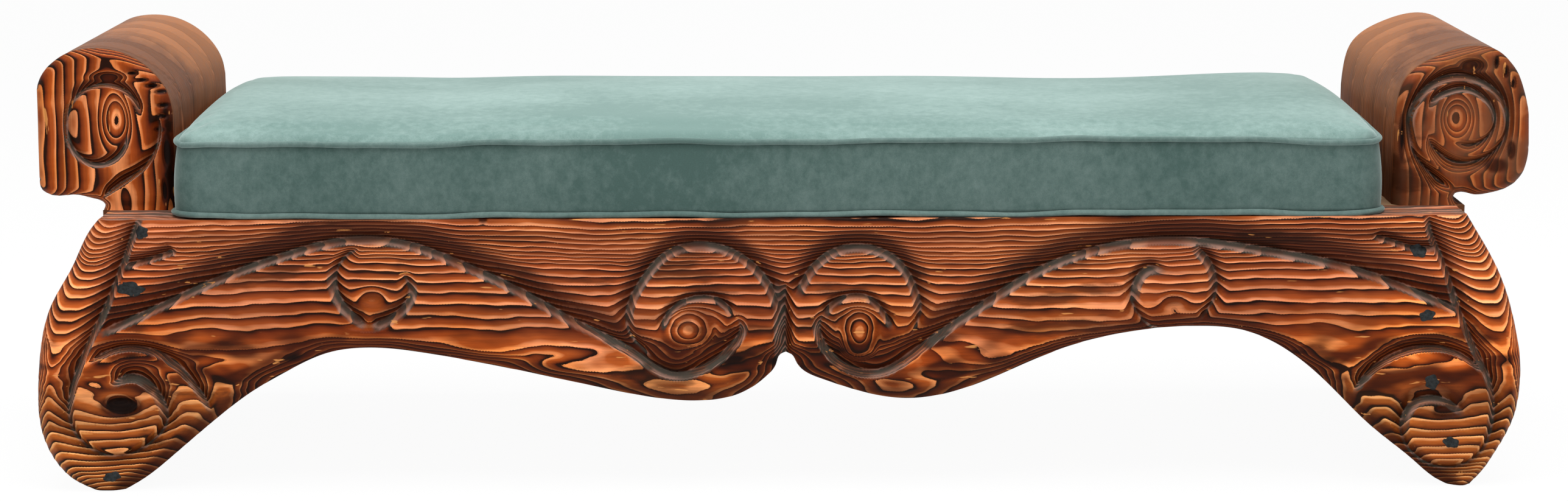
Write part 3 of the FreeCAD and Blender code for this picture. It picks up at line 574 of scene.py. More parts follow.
def board_grain(face_y, inward, relief, seed, eyes=()):
    """Growth rings of a board whose log's heart lies behind its face, along the seat.

    Each eye's knob has rings of its own round it."""
    behind, height = np.array(BOARD_HEART_MM) * MM
    pull = BOARD_PULL_MM * MM

    def grain(points):
        drift = (2.4 * MM * wander(points, (0.55, 0.4, 0.2), seed)
                 + 1.1 * MM * wander(points, (0.12, 0.1, 0.05), seed + 1)
                 + 0.55 * MM * wander(points, (0.055, 0.05, 0.03), seed + 5)
                 + 0.35 * MM * wander(points, (0.022, 0.03, 0.012), seed + 2))
        rise = points[:, 2] - height - 5 * MM * wander(points[:, :1], (0.8,), seed + 3)
        near = np.exp(-(rise / (36 * MM)) ** 2)
        drift += 3.2 * MM * near * wander(points, (0.1, 0.05, 0.026), seed + 4)
        deep = np.clip(inward * (points[:, 1] - face_y), 0, behind)
        radius = np.sqrt(np.maximum(behind ** 2 + rise ** 2 - 2 * pull * deep + deep ** 2, TINY)) + drift
        rings = ring_count(radius, BOARD_RINGS_MM)
        first, second = EYE_RING_SHARES
        for *_, knob, wide_mm, high_mm in eyes:
            far = stretched(points[:, [0, 2]], board_spots(knob), wide_mm, high_mm) + drift / (12 * MM)
            local = np.maximum(EYE_FIRST_RING + (far - first) / (second - first), EYE_HEART_RING)
            share = 1 - fade((far - 1.5) / 0.7)
            rings = rings * (1 - share) + local * share
        return rings, brushed_out(rings, BOARD_RINGS_MM, relief)
    return grain


def arm_grain(heart_x, face_y, relief, seed):
    """Growth rings of an arm's plank: its log's heart stands upright behind the face."""
    behind = ARM_HEART_MM * MM

    def grain(points):
        drift = (2.0 * MM * wander(points, (0.1, 0.1, 0.3), seed)
                 + 0.9 * MM * wander(points, (0.04, 0.04, 0.08), seed + 1))
        deep = np.clip(points[:, 1] - face_y, 0, behind)
        cut = 2 * ARM_PULL_MM * MM * deep - deep ** 2
        radius = np.sqrt(np.maximum(behind ** 2 + (points[:, 0] - heart_x) ** 2 - cut, TINY)) + drift
        rings = ring_count(radius, ARM_RINGS_MM)
        return rings, brushed_out(rings, ARM_RINGS_MM, relief)
    return grain


# Meshes

def band(first, second):
    """Faces between two closed loops of point numbers."""
    return np.stack([np.roll(first, -1), first, second, np.roll(second, -1)], axis=1).tolist()


def face_points(outline, pitch_x, pitch_z, guides):
    """Spots and triangles that fill an outline, with the outline's own points first.

    Guides are open lines inside it that the triangles follow."""
    count = len(outline)
    low = outline.min(axis=0) + np.array((pitch_x, pitch_z)) / 2
    high = outline.max(axis=0)
    columns, rows = np.arange(low[0], high[0], pitch_x), np.arange(low[1], high[1], pitch_z)
    grid = np.stack(np.meshgrid(columns, rows), axis=-1)
    grid[1::2, :, 0] += pitch_x / 2
    grid = grid.reshape(-1, 2)
    grid = grid[inside(grid, outline)]
    grid = grid[from_rim(grid, outline) > 0.5 * pitch_z]
    spots = [outline]
    edges = [(i, (i + 1) % count) for i in range(count)]
    start = count
    for line in guides:
        line = line[inside(line, outline) & (from_rim(line, outline) > 1.2 * pitch_z)]
        if len(line) < 2:
            continue
        grid = grid[np.abs(near_line(grid, line)[0]) > 0.45 * pitch_z]
        edges += [(start + i, start + i + 1) for i in range(len(line) - 1)
                  if np.hypot(*(line[i + 1] - line[i])) < 3 * ROUTE_PITCH]
        spots.append(line)
        start += len(line)
    flat = [Vector(spot) for spot in np.concatenate([*spots, grid]).tolist()]
    made, _, faces, came_from, _, _ = delaunay_2d_cdt(flat, edges, [list(range(count))], 1, 1e-7, True)
    back = {source: index for index, sources in enumerate(came_from) for source in sources}
    order = [back[i] for i in range(count)]
    order += sorted(set(range(len(made))) - set(order))
    new_index = np.zeros(len(made), int)
    new_index[order] = np.arange(len(made))
    spots = np.array([made[i][:] for i in order])
    faces = new_index[np.array(faces)]
    doubtful = np.where(faces.max(axis=1) < count)[0]
    outside = doubtful[~inside(spots[faces[doubtful]].mean(axis=1), outline)]
    return spots, np.delete(faces, outside, axis=0).tolist()


def add_mesh(name, points, faces, values=()):
    """A mesh object with named values on its points, smooth apart from sharp edges."""
    mesh = bpy.data.meshes.new(name)
    mesh.from_pydata([tuple(point) for point in points], [], faces)
    mesh.validate()
    for label, numbers in values:
        layer = mesh.attributes.new(label, "FLOAT", "POINT")
        layer.data.foreach_set("value", np.asarray(numbers, dtype=np.float32))
    mesh.polygons.foreach_set("use_smooth", [True] * len(mesh.polygons))
    mesh.update()
    piece = bpy.data.objects.new(name, mesh)
    bpy.context.collection.objects.link(piece)
    return piece


def finish_piece(piece, material, body, nodes):
    """Dress a piece, let it ride on its body and let it stand for its nodes."""
    piece.data.materials.append(bpy.data.materials[material])
    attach(piece, body)
    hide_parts(*nodes)


def board_bevels(side, arch):
    """Bevels of a board's runs."""
    return side, FOOT_BEVEL, arch, arch, FOOT_BEVEL, side, TOP_BEVEL


def board_piece(name, face_y, thick, runs, bevel_sizes, pitches, cuts, to_spots, grain, tone):
    """A board with a carved and brushed face, solid to its back; returns the piece.

    thick is negative where the face looks to +Y. Pitches are those of the columns, the rows and the
    wall. grain gives the growth rings and the brushed depth of points, tone how dark the wood is
    where nothing is carved."""
    pitch_x, pitch_z, wall_pitch = pitches
    inward = 1 if thick > 0 else -1
    outline = np.concatenate([smooth_line(to_spots(run), pitch_x)[:-1] for run in runs])
    guides = [smooth_line(to_spots(groove[0]), ROUTE_PITCH) for groove in cuts[0]]
    spots, faces = face_points(outline, pitch_x, pitch_z, guides)
    faces = [face[::inward] for face in faces]
    bevels = [(smooth_line(to_spots(run), BEVEL_PITCH), size) for run, size in zip(runs, bevel_sizes) if size]
    depth, burnt, wall = carved(spots, cuts, to_spots, bevels)
    points = np.stack([spots[:, 0], face_y + inward * depth, spots[:, 1]], axis=1)
    rings, low = grain(points)
    points[:, 1] += inward * (low * (1 - 0.6 * wall ** 3))
    burnt = np.maximum(burnt, tone(points))
    count = len(outline)
    ahead = np.roll(outline, -1, axis=0) - np.roll(outline, 1, axis=0)
    normal = np.stack([-ahead[:, 1], ahead[:, 0]], axis=1) / np.hypot(*ahead.T)[:, None]
    # The board's top face takes three quarters of the walls' painted sheen
    top_grey = np.where(np.abs(outline[:, 1] - BOARD_TOP) < MM, 0.75, 0.0)
    rows = max(3, round(abs(thick) / wall_pitch))
    layers = [(points, rings, burnt, wall)]
    for share in np.arange(1, rows + 1) / rows:
        y = points[:count, 1] + (face_y + thick - points[:count, 1]) * share
        around = np.stack([outline[:, 0], y, outline[:, 1]], axis=1)
        around_rings, low = grain(around)
        around[:, [0, 2]] += normal * (0.6 * low * fade(share * 4) * fade((1 - share) * 4))[:, None]
        layers.append((around, around_rings, burnt[:count] * (1 - 0.6 * share), top_grey))
    loop = np.arange(count)
    starts = [0] + [len(points) + row * count for row in range(rows)]
    for first, second in zip(starts[:-1], starts[1:]):
        faces += [quad[::inward] for quad in band(loop + first, loop + second)]
    back, back_faces = face_points(outline, *BACK_PITCHES, [])
    inner = np.stack([back[count:, 0], np.full(len(back) - count, face_y + thick), back[count:, 1]], axis=1)
    layers.append((inner, grain(inner)[0] if len(inner) else np.zeros(0), *np.zeros((2, len(inner)))))
    faces += [[starts[-1] + i for i in face][::-inward] for face in back_faces]
    points, rings, burnt, wall = (np.concatenate(parts) for parts in zip(*layers))
    piece = add_mesh(name, points, faces, (("ring", rings), ("burnt", burnt), ("wall", wall)))
    piece.data.set_sharp_from_angle(angle=math.radians(50))
    return piece


# Materials

def solid(colour):
    """A colour with full cover."""
    return (*tuple(colour)[:3], 1.0)


class Wiring:
    """Adds linked shader nodes to one tree."""

    def __init__(self, tree):
        self.tree = tree
        self.tree.nodes.clear()

    def add(self, kind, inputs=None, **settings):
        """A node with its settings and its inputs, each a value or another node's socket."""
        node = self.tree.nodes.new(kind)
        for name, value in settings.items():
            setattr(node, name, value)
        for name, value in (inputs or {}).items():
            socket = node.inputs[name]
            if isinstance(value, bpy.types.NodeSocket):
                self.tree.links.new(value, socket)
            else:
                socket.default_value = solid(value) if socket.type == "RGBA" else value
        return node

    def math(self, operation, first, second=0.0):
        """One sum; returns its result."""
        return self.add("ShaderNodeMath", {0: first, 1: second}, operation=operation).outputs[0]

    def times(self, first, second):
        """Two values multiplied; returns the product."""
        return self.math("MULTIPLY", first, second)

    def vector(self, operation, first, second):
        """One sum of vectors; returns its node."""
        return self.add("ShaderNodeVectorMath", {0: first, 1: second}, operation=operation)

    def mix(self, share, first, second, blend="MIX"):
        """Two colours mixed; returns the colour."""
        return self.add("ShaderNodeMix", {0: share, 6: first, 7: second}, data_type="RGBA",
                        blend_type=blend).outputs[2]

    def tint(self, share, colour, other):
        """A colour multiplied by another one, as far as share says; returns the colour."""
        return self.mix(share, colour, other, "MULTIPLY")

    def shade(self, colour, level):
        """A colour made lighter or darker by a level round 1; returns the colour."""
        grey = self.add("ShaderNodeCombineColor", {0: level, 1: level, 2: level}).outputs[0]
        return self.tint(1.0, colour, grey)

    def map(self, value, low, high, to_low=0.0, to_high=1.0, kind="LINEAR"):
        """A value stretched from one range to another; returns it."""
        return self.add("ShaderNodeMapRange", {0: value, 1: low, 2: high, 3: to_low, 4: to_high},
                        interpolation_type=kind).outputs[0]

    def ease(self, *ranges):
        """The same with a soft start and end."""
        return self.map(*ranges, kind="SMOOTHSTEP")

    def value(self, label):
        """A named value of the mesh."""
        return self.add("ShaderNodeAttribute", attribute_name=label).outputs["Fac"]

    def place(self):
        """The place in the object."""
        return self.add("ShaderNodeTexCoord").outputs["Object"]

    def axis(self, index):
        """The place along x, y or z."""
        return self.add("ShaderNodeSeparateXYZ", {0: self.place()}).outputs[index]

    def ramp(self, share, stops):
        """A colour ramp; returns its colour."""
        node = self.add("ShaderNodeValToRGB", {0: share})
        points = node.color_ramp.elements
        while len(points) < len(stops):
            points.new(0.5)
        for point, (place, colour) in zip(points, stops):
            point.position = place
            point.color = solid(colour)
        return node.outputs[0]

    def noise(self, scale, detail=3.0, spread=(1, 1, 1), roughness=0.55):
        """Noise over the place in the object, stretched by spread; returns its value."""
        stretch = self.add("ShaderNodeMapping", {"Vector": self.place(), "Scale": spread}).outputs[0]
        return self.add("ShaderNodeTexNoise", {"Vector": stretch, "Scale": scale, "Detail": detail,
                                               "Roughness": roughness}).outputs[0]

    def group(self, name, **inputs):
        """A shared effect with this material's values; returns its outputs."""
        return self.add("ShaderNodeGroup", inputs, node_tree=bpy.data.node_groups[name]).outputs

    def finish(self, height, strength, distance, **inputs):
        """Close a material with its Principled shader, whose normal comes from a height."""
        normal = self.add("ShaderNodeBump", {"Height": height, "Strength": strength, "Distance": distance})
        named = {key.replace("_", " "): value for key, value in inputs.items()}
        shader = self.add("ShaderNodeBsdfPrincipled", {**named, "Normal": normal.outputs[0]})
        self.add("ShaderNodeOutputMaterial", {"Surface": shader.outputs[0]})


def new_material(name):
    """An empty material; returns its wiring."""
    material = bpy.data.materials.new(name)
    material.use_nodes = True
    return Wiring(material.node_tree)


def new_group(name, inputs, outputs):
    """A shader node group with its sockets; returns its wiring and what comes in."""
    tree = bpy.data.node_groups.new(name, "ShaderNodeTree")
    for in_out, sockets in (("INPUT", inputs), ("OUTPUT", outputs)):
        for label, kind, *default in sockets:
            socket = tree.interface.new_socket(name=label, in_out=in_out, socket_type="NodeSocket" + kind)
            if default:
                socket.default_value = default[0]
    wiring = Wiring(tree)
    return wiring, wiring.add("NodeGroupInput").outputs


def make_ring_group():
    """Growth rings: from early wood, tinted to a painted highlight at each ring's start, through late wood to
    a dark line, each ring a little different.
    """
    look = bpy.context.scene.bench_wood
    early, middle, late, line = np.array((look.early, look.middle, look.late, look.line))
    wiring, given = new_group("growth_rings", (("Ring", "Float", 0.0),),
                              (("Color", "Color"), ("Line", "Float"), ("Part", "Float")))
    part = wiring.math("FRACT", given["Ring"])
    shift = wiring.times(wiring.math("SUBTRACT", wiring.noise(20.0, 4.0, (0.3, 1, 1)), 0.5), 0.9)
    shown = wiring.math("ADD", part, wiring.times(shift, wiring.map(part, 0.08, 0.3)))
    shown = wiring.math("MINIMUM", wiring.math("MAXIMUM", shown, 0.03), 0.99)
    # Each ring starts with a painted pinkish highlight just past the dark line
    colour = wiring.ramp(shown, ((0.0, line * 1.5), (0.04, early), (0.12, early * 0.86), (0.3, middle),
                                 (0.56, (middle + late) / 2), (0.78, late), (0.9, line), (1.0, line)))
    dice = wiring.add("ShaderNodeTexWhiteNoise", {"W": wiring.math("FLOOR", given["Ring"])},
                      noise_dimensions="1D").outputs["Value"]
    wiring.add("NodeGroupOutput", {"Color": wiring.shade(colour, wiring.map(dice, 0, 1, 0.72, 1.22)),
                                   "Line": wiring.ease(part, 0.86, 0.95), "Part": part})


def make_fibre_group():
    """Fine fibres along the grain, as a value for colour and for height, and slow blotches."""
    wiring, given = new_group("wood_fibre", (("Along", "Vector", (1, 1, 1)),),
                              (("Value", "Float"), ("Blotch", "Float")))
    place = wiring.place()
    stretch = wiring.vector("MULTIPLY", place, given["Along"]).outputs[0]
    fibre = wiring.add("ShaderNodeTexNoise", {"Vector": stretch, "Scale": 1.0, "Detail": 4.0,
                                              "Roughness": 0.65})
    slow = wiring.add("ShaderNodeTexNoise", {"Vector": place, "Scale": 9.0, "Detail": 3.0})
    wiring.add("NodeGroupOutput", {"Value": fibre.outputs[0], "Blotch": slow.outputs[0]})


def make_pile_group():
    """Velvet pile: soft streaks and finger marks between a least and a most shade, with a fine nap."""
    wiring, given = new_group("velvet_pile", (("Least", "Float", 0.0), ("Most", "Float", 1.0)),
                              (("Shade", "Float"), ("Nap", "Float")))
    shade = wiring.math("ADD", wiring.times(wiring.noise(2.4, 4.0, (1.0, 1.6, 1.0)), 0.62),
                        wiring.times(wiring.noise(90.0, 5.0, (1.0, 1.0, 0.8), 0.7), 0.38))
    # Painted light: the pile a little lighter towards the back
    shade = wiring.math("ADD", shade, wiring.map(wiring.axis(1), -0.22, 0.22, -0.04, 0.05))
    wiring.add("NodeGroupOutput", {"Shade": wiring.map(shade, 0.4, 0.6, given["Least"], given["Most"]),
                                   "Nap": wiring.noise(900.0, 2.0)})


def low_on_board(wiring):
    """How golden the boards are: redder near the seat, golden below."""
    shift = wiring.times(wiring.math("SUBTRACT", wiring.noise(7.0, 3.0), 0.5), 0.25)
    return wiring.ease(wiring.math("ADD", wiring.axis(2), shift), 0.25, 0.16)


def patchy(wiring):
    """How golden an arm's face is: in patches."""
    return wiring.ease(wiring.noise(12.0, 3.0), 0.4, 0.6, 0.45, 1.0)


def ringed(wiring, ring, along):
    """Brown of the growth rings with their fibres, which along stretches.

    Returns the outputs of both effects, how light the fibres are, and the colour."""
    rings = wiring.group("growth_rings", Ring=ring)
    fibre = wiring.group("wood_fibre", Along=along)
    light = wiring.map(fibre["Value"], 0.3, 0.7, 0.78, 1.2)
    warm = wiring.mix(wiring.ease(fibre["Blotch"], 0.38, 0.66), (0.86, 0.80, 0.74), (1.1, 1.14, 1.0))
    return rings, fibre, light, wiring.shade(wiring.tint(1.0, rings["Color"], warm), light)


def finish_wood(wiring, colour, fibre, height, shine):
    """Close a lacquered wood."""
    wiring.finish(height, 0.55, 0.5 * MM, Base_Color=colour, Specular_IOR_Level=shine,
                  Roughness=wiring.map(fibre["Value"], 0.3, 0.7, 0.38, 0.56))


def carved_wood(name, along, golden_share=low_on_board, worn=0.0):
    """Burnt, brushed and lacquered softwood.

    golden_share tells where it is more golden, worn how far the rings are rubbed to one brown."""
    look = bpy.context.scene.bench_wood
    roll, painted_sheen = np.array(look.roll), np.array(look.painted_sheen)
    wiring = new_material(name)
    burnt, wall = wiring.value("burnt"), wiring.value("wall")
    across, height = wiring.axis(0), wiring.axis(2)
    rings, fibre, _, colour = ringed(wiring, wiring.value("ring"), along)
    colour = wiring.tint(golden_share(wiring), colour, (0.92, 0.74, 0.40))
    # Painted light: the legs, the right one most, are made lighter as if lit more strongly
    lit_legs = wiring.ease(wiring.math("ABSOLUTE", across), 0.69, 0.79)
    for ranges in ((across, -0.7, 0.7, 0.75, 1), (height, 0.10, 0.19), (height, 0.333, 0.345, 1, 0)):
        lit_legs = wiring.times(lit_legs, wiring.ease(*ranges))
    colour = wiring.tint(lit_legs, colour, (1.62, 1.62, 1.6))
    colour = wiring.tint(wiring.ease(height, 0.17, 0.09), colour, (1.22, 1.85, 2.8))
    rubbed = wiring.ease(wiring.noise(16.0, 4.0), 0.4, 0.6, 0.5 * worn, min(1.0, 1.5 * worn))
    colour = wiring.mix(rubbed, colour, roll * (0.6, 0.6, 0.72))
    dirty = wiring.ease(wiring.noise(24.0, 5.0, (0.25, 1, 1)), 0.6, 0.68, 0, 0.6)
    colour = wiring.mix(dirty, colour, look.burnt)
    charred_and_shaded = wiring.mix(0.3, wiring.tint(1.0, colour, (0.26, 0.2, 0.18)), look.burnt)
    # Darkened by char and painted shade; near black (painted shadow) at the bottom of downward-facing flanks
    # and in the darkest dips, such as the hole in the left foot
    colour = wiring.mix(wiring.ease(burnt, 0.08, 0.85), colour, charred_and_shaded)
    colour = wiring.mix(wiring.ease(burnt, 1.1, 1.5, 0, 0.97), colour, np.array(look.line) * 0.3)
    # Painted sheen on steep walls that face up. It turns a darker grey-blue (painted shade) on each ring's
    # later part where the wall share is low, and where the flank is charred and shaded; uneven breaks it up
    bead = wiring.times(wiring.map(rings["Part"], 0.15, 0.45), wiring.map(wall, 1.2, 0.6))
    core = wiring.times(wiring.ease(burnt, 0.2, 0.6, 0, 0.92), wiring.map(wall, 0.55, 0.85, 0.05, 1))
    painted_sheen_tone = wiring.mix(wiring.math("MAXIMUM", bead, core), painted_sheen, painted_sheen * (0.13, 0.25, 0.26))
    uneven = wiring.ease(wiring.noise(40.0, 4.0, (0.4, 1, 1)), 0.4, 0.6, 0.45, 1.0)
    colour = wiring.mix(wiring.times(wiring.ease(wall, 0.05, 0.65, 0, 0.95), uneven), colour, painted_sheen_tone)
    spread = tuple(min(1.0, 3.4 * value / max(along)) for value in along)
    chips = wiring.ease(wiring.noise(150.0, 2.0, spread), 0.70, 0.74, 0, 0.7)
    colour = wiring.mix(chips, colour, (0.66, 0.27, 0.075))
    rise = wiring.math("ADD", wiring.times(rings["Line"], -0.6), wiring.times(fibre["Value"], 0.5))
    finish_wood(wiring, colour, fibre, rise, 0.06)


def rolled_wood(name, along, ring_source=None):
    """Sanded wood of the rolls, where the growth rings hardly show.

    They come from the mesh, where the wood is also darker low down, or from ring_source."""
    look = bpy.context.scene.bench_wood
    roll = np.array(look.roll)
    wiring = new_material(name)
    ring = ring_source(wiring) if ring_source else wiring.value("ring")
    _, fibre, light, colour = ringed(wiring, ring, along)
    back = wiring.ease(wiring.axis(1), -0.15, 0.12, -0.08, 0.12)
    smoke = wiring.math("ADD", wiring.noise(8.0, 6.0, (1, 0.4, 1), 0.6), back)
    brown = wiring.mix(wiring.ease(smoke, 0.40, 0.60), look.smoke, roll)
    shown = 0.09
    if ring_source is None:
        height = wiring.axis(2)
        brown = wiring.mix(wiring.times(wiring.value("burnt"), 0.8), brown, roll * 0.35)
        brown = wiring.mix(wiring.ease(height, 0.38, 0.5, 0.92, 0.0), brown, roll * (0.28, 0.18, 0.14))
        shown = wiring.ease(height, 0.39, 0.5, 0.35, 0.1)
    colour = wiring.mix(shown, wiring.shade(brown, light), colour)
    finish_wood(wiring, colour, fibre, wiring.times(fibre["Value"], 0.4), 0.04)


def placed_rings(wiring, axes, heart, pitch):
    """Growth rings worked out from the place alone, for boards that keep their own mesh."""
    off = wiring.vector("SUBTRACT", wiring.place(), heart).outputs[0]
    flat = wiring.vector("MULTIPLY", off, axes).outputs[0]
    reach = wiring.add("ShaderNodeVectorMath", {0: flat}, operation="LENGTH").outputs["Value"]
    return wiring.math("DIVIDE", wiring.math("ADD", reach, wiring.times(wiring.noise(4.0, 2.0), 0.02)), pitch)


def plain_wood(name, colour, along, axes, heart, pitch):
    """Unburnt softwood of the seat boards, bearers and cleats."""
    wiring = new_material(name)
    base = np.array(colour)
    part = wiring.math("FRACT", placed_rings(wiring, axes, heart, pitch))
    tone = wiring.ramp(part, ((0.0, base * 1.12), (0.6, base * 0.95), (0.9, base * 0.6), (1.0, base * 1.1)))
    fibre = wiring.group("wood_fibre", Along=along)
    wiring.finish(fibre["Value"], 0.4, 0.4 * MM,
                  Base_Color=wiring.shade(tone, wiring.map(fibre["Value"], 0.3, 0.7, 0.82, 1.12)),
                  Roughness=wiring.map(fibre["Blotch"], 0.3, 0.7, 0.6, 0.78))


def velvet(name, light_share, painted_brightness=1.0):
    """Sea-green cotton velvet. light_share is how much of its lighter colour shows and painted_brightness
    scales both colours; the top's higher values are painted light, the boxing's and piping's lower ones
    painted shade.
    """
    look = bpy.context.scene.bench_cushion
    wiring = new_material(name)
    pile = wiring.group("velvet_pile", Least=max(0.0, light_share - PILE_SPAN), Most=min(1.0, light_share + PILE_SPAN))
    nap = pile["Nap"]
    dark, light = np.array((look.velvet, look.pile_and_painted_light)) * painted_brightness
    colour = wiring.mix(pile["Shade"], dark, light)
    wiring.finish(nap, 0.25, 0.3 * MM, Base_Color=wiring.shade(colour, wiring.map(nap, 0.3, 0.7, 0.9, 1.1)),
                  Roughness=wiring.map(nap, 0.3, 0.7, 0.82, 0.95), Specular_IOR_Level=0.2,
                  Sheen_Weight=0.55, Sheen_Roughness=0.35, Sheen_Tint=(0.78, 0.93, 0.9))


def two_tone(name, pattern, tone_range, tones, rough_range, strength, distance, **inputs):
    """A material whose colour, roughness and height all follow one pattern."""
    wiring = new_material(name)
    value = pattern(wiring)
    wiring.finish(value, strength, distance, Base_Color=wiring.mix(wiring.map(value, *tone_range), *tones),
                  Roughness=wiring.map(value, *rough_range), **inputs)


def steel(name, colour, rough):
    """Zinc-plated steel of screws, or the brushed metal of the zip's slider."""
    two_tone(name, lambda wiring: wiring.noise(420.0, 3.0, (1, 1, 0.15)), (0.3, 0.7),
             (np.array(colour) * 0.8, colour), (0.3, 0.7, rough, rough + 0.2), 0.2, 0.1 * MM, Metallic=1.0)


def zip_teeth(wiring):
    """Rows of teeth across the zip."""
    return wiring.map(wiring.math("PINGPONG", wiring.axis(0), TOOTH_PITCH), 0, TOOTH_PITCH)


# Operators

class BENCH_OT_mix_finishes(bpy.types.Operator):
    """Build the shared effects and every material of the bench"""
    bl_idname = "bench.mix_finishes"
    bl_label = "Mix finishes"

    def execute(self, context):
        raw = context.scene.bench_wood.raw
        make_ring_group()
        make_fibre_group()
        make_pile_group()
        carved_wood("bench_board_wood", (14, 300, 300))
        carved_wood("bench_arm_face_wood", (300, 300, 16), patchy)
        carved_wood("bench_worn_face_wood", (300, 300, 16), patchy, 0.45)
        rolled_wood("bench_arm_roll_wood", (260, 260, 14))
        rolled_wood("bench_panel_wood", (300, 14, 300),
                    lambda wiring: placed_rings(wiring, (1, 0, 1), (-0.7, 0, -0.12), 11 * MM))
        plain_wood("bench_seat_wood", raw, (12, 260, 260), (0, 1, 1), (0, 0.03, 0.1), 6 * MM)
        plain_wood("bench_bearer_wood", raw, (260, 12, 260), (1, 0, 1), (0.03, 0, 0.1), 7 * MM)
        plain_wood("bench_dowel_wood", (0.55, 0.38, 0.2), (300, 300, 16), (1, 1, 0), (0, 0, 0), 4 * MM)
        # Lit and shaded copies of one velvet: the top painted lighter, the boxing, bottom and piping painted
        # darker
        velvet("bench_top_velvet_painted_light", 0.68, 1.02)
        velvet("bench_side_velvet_painted_shade", 0.42, 0.60)
        velvet("bench_piping_velvet_painted_shade", 0.62, 0.68)
        steel("bench_screw_steel", (0.62, 0.6, 0.54), 0.3)
        steel("bench_zip_metal", (0.5, 0.5, 0.48), 0.25)
        two_tone("bench_foam", lambda wiring: wiring.noise(700.0, 3.0), (0.35, 0.65),
                 ((0.78, 0.72, 0.52), (0.88, 0.84, 0.68)), (0.3, 0.7, 0.85, 1.0), 0.5, 0.4 * MM)
        two_tone("bench_filler", lambda wiring: wiring.noise(300.0, 4.0), (0.35, 0.65),
                 ((0.006, 0.007, 0.007), (0.022, 0.026, 0.027)), (0.3, 0.7, 0.45, 0.65), 0.6, 0.5 * MM,
                 Specular_IOR_Level=0.15)
        two_tone("bench_zip_tape", zip_teeth, (0, 1), ((0.05, 0.10, 0.09), (0.12, 0.21, 0.19)),
                 (0, 1, 0.7, 0.85), 0.5, 0.5 * MM)
        return {"FINISHED"}


class BENCH_OT_dress_inner_parts(bpy.types.Operator):
    """Give the seat boards, bearers, panels, dowels and screws their materials"""
    bl_idname = "bench.dress_inner_parts"
    bl_label = "Dress inner parts"

    def execute(self, context):
        for name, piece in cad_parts.items():
            finish = next((finish for part, finish in INNER_FINISHES if part in name), None)
            if finish:
                piece.data.materials.clear()
                piece.data.materials.append(bpy.data.materials[finish])
        return {"FINISHED"}


class BENCH_OT_carve_front_board(bpy.types.Operator):
    """Carve and brush the front board"""
    bl_idname = "bench.carve_front_board"
    bl_label = "Carve front board"

    def execute(self, context):
        sizes = context.scene.bench_carving
        piece = board_piece("front_board_carved", FRONT_FACE, BOARD_THICK, BOARD_RUNS,
                            board_bevels((sizes.side_round, 15 * MM, 1.9, 0.5),
                                         (sizes.arch_bevel, 12 * MM, 1.3, 1.1)),
                            (sizes.column_pitch, sizes.row_pitch, 9 * MM),
                            (FRONT_GROOVES, FRONT_DIPS, FRONT_EYES), board_spots,
                            board_grain(FRONT_FACE, 1, sizes.relief, 11, FRONT_EYES), heart_tone)
        finish_piece(piece, "bench_board_wood", "frame", ["front_board"])
        return {"FINISHED"}


class BENCH_OT_brush_back_board(bpy.types.Operator):
    """Brush the plain back board"""
    bl_idname = "bench.brush_back_board"
    bl_label = "Brush back board"

    def execute(self, context):
        sizes = context.scene.bench_carving
        piece = board_piece("back_board_brushed", BACK_FACE, -BOARD_THICK, BOARD_RUNS,
                            board_bevels((sizes.side_round * 0.5, 8 * MM, 1.9, 0.75),
                                         (sizes.arch_bevel * 0.6, 7 * MM, 1.3, 1.1)),
                            (2.5 * sizes.back_pitch, sizes.back_pitch, 12 * MM), ((), (), ()), board_spots,
                            board_grain(BACK_FACE, -1, sizes.relief, 47), heart_tone)
        finish_piece(piece, "bench_board_wood", "frame", ["back_board"])
        return {"FINISHED"}


class BENCH_OT_roll_arms(bpy.types.Operator):
    """Shape the planks of both arms and carve their front ones"""
    bl_idname = "bench.roll_arms"
    bl_label = "Roll arms"

    def execute(self, context):
        for label, runs, cuts, face_wood, heart, relief, tone, seed in (
                ("left", LEFT_ARM_OUTLINE, (LEFT_ARM_GROOVES, LEFT_ARM_DIPS, ()), "bench_arm_face_wood",
                 -0.896, 0.8, 0.12, 101),
                ("right", RIGHT_ARM_OUTLINE, (RIGHT_ARM_GROOVES, RIGHT_ARM_DIPS, ()), "bench_worn_face_wood",
                 0.903, 0.5, 0.3, 131)):
            for index in range(1, PLANKS_PER_ARM + 1):
                node = "arm_%s_plank_%d" % (label, index)
                low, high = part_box(node)
                piece = self.plank(context.scene.bench_carving, node + "_rolled", low[1], high[1], index == 1,
                                   runs, cuts, heart * HALF_WIDTH, relief, tone, seed + index)
                finish_piece(piece, face_wood, "frame", [node])
                self.wrap(piece, index == 1, low[1])
        return {"FINISHED"}

    def plank(self, sizes, name, face_y, back_y, front, runs, cuts, heart_x, relief, tone, seed):
        """One plank; only the front one is carved and finely brushed."""
        bevel = (sizes.arm_round, 9 * MM, 2.0, 0.5) if front else (1.2 * MM, 0.5 * MM, 1.5, 0.6)
        bevels = [None if run[0][1] == run[-1][1] == 0 else bevel for run in runs]
        pitches = (2.2 * MM, 1.5 * MM, 9 * MM) if front else (5 * MM, 12 * MM, 9 * MM)
        grain = arm_grain(heart_x, face_y, relief * sizes.relief if front else 0.25 * MM, seed)
        return board_piece(name, face_y, back_y - face_y, runs, bevels, pitches,
                           cuts if front else ((), (), ()), arm_spots, grain,
                           lambda points: np.full(len(points), tone))

    def wrap(self, piece, front, face_y):
        """The smooth wood of the roll, on all but the carved face."""
        piece.data.materials.append(bpy.data.materials["bench_arm_roll_wood"])
        for face in piece.data.polygons:
            across = abs(face.normal.y) < 0.5 and face.center.y > face_y + 3 * MM
            face.material_index = 1 if across or not front else 0


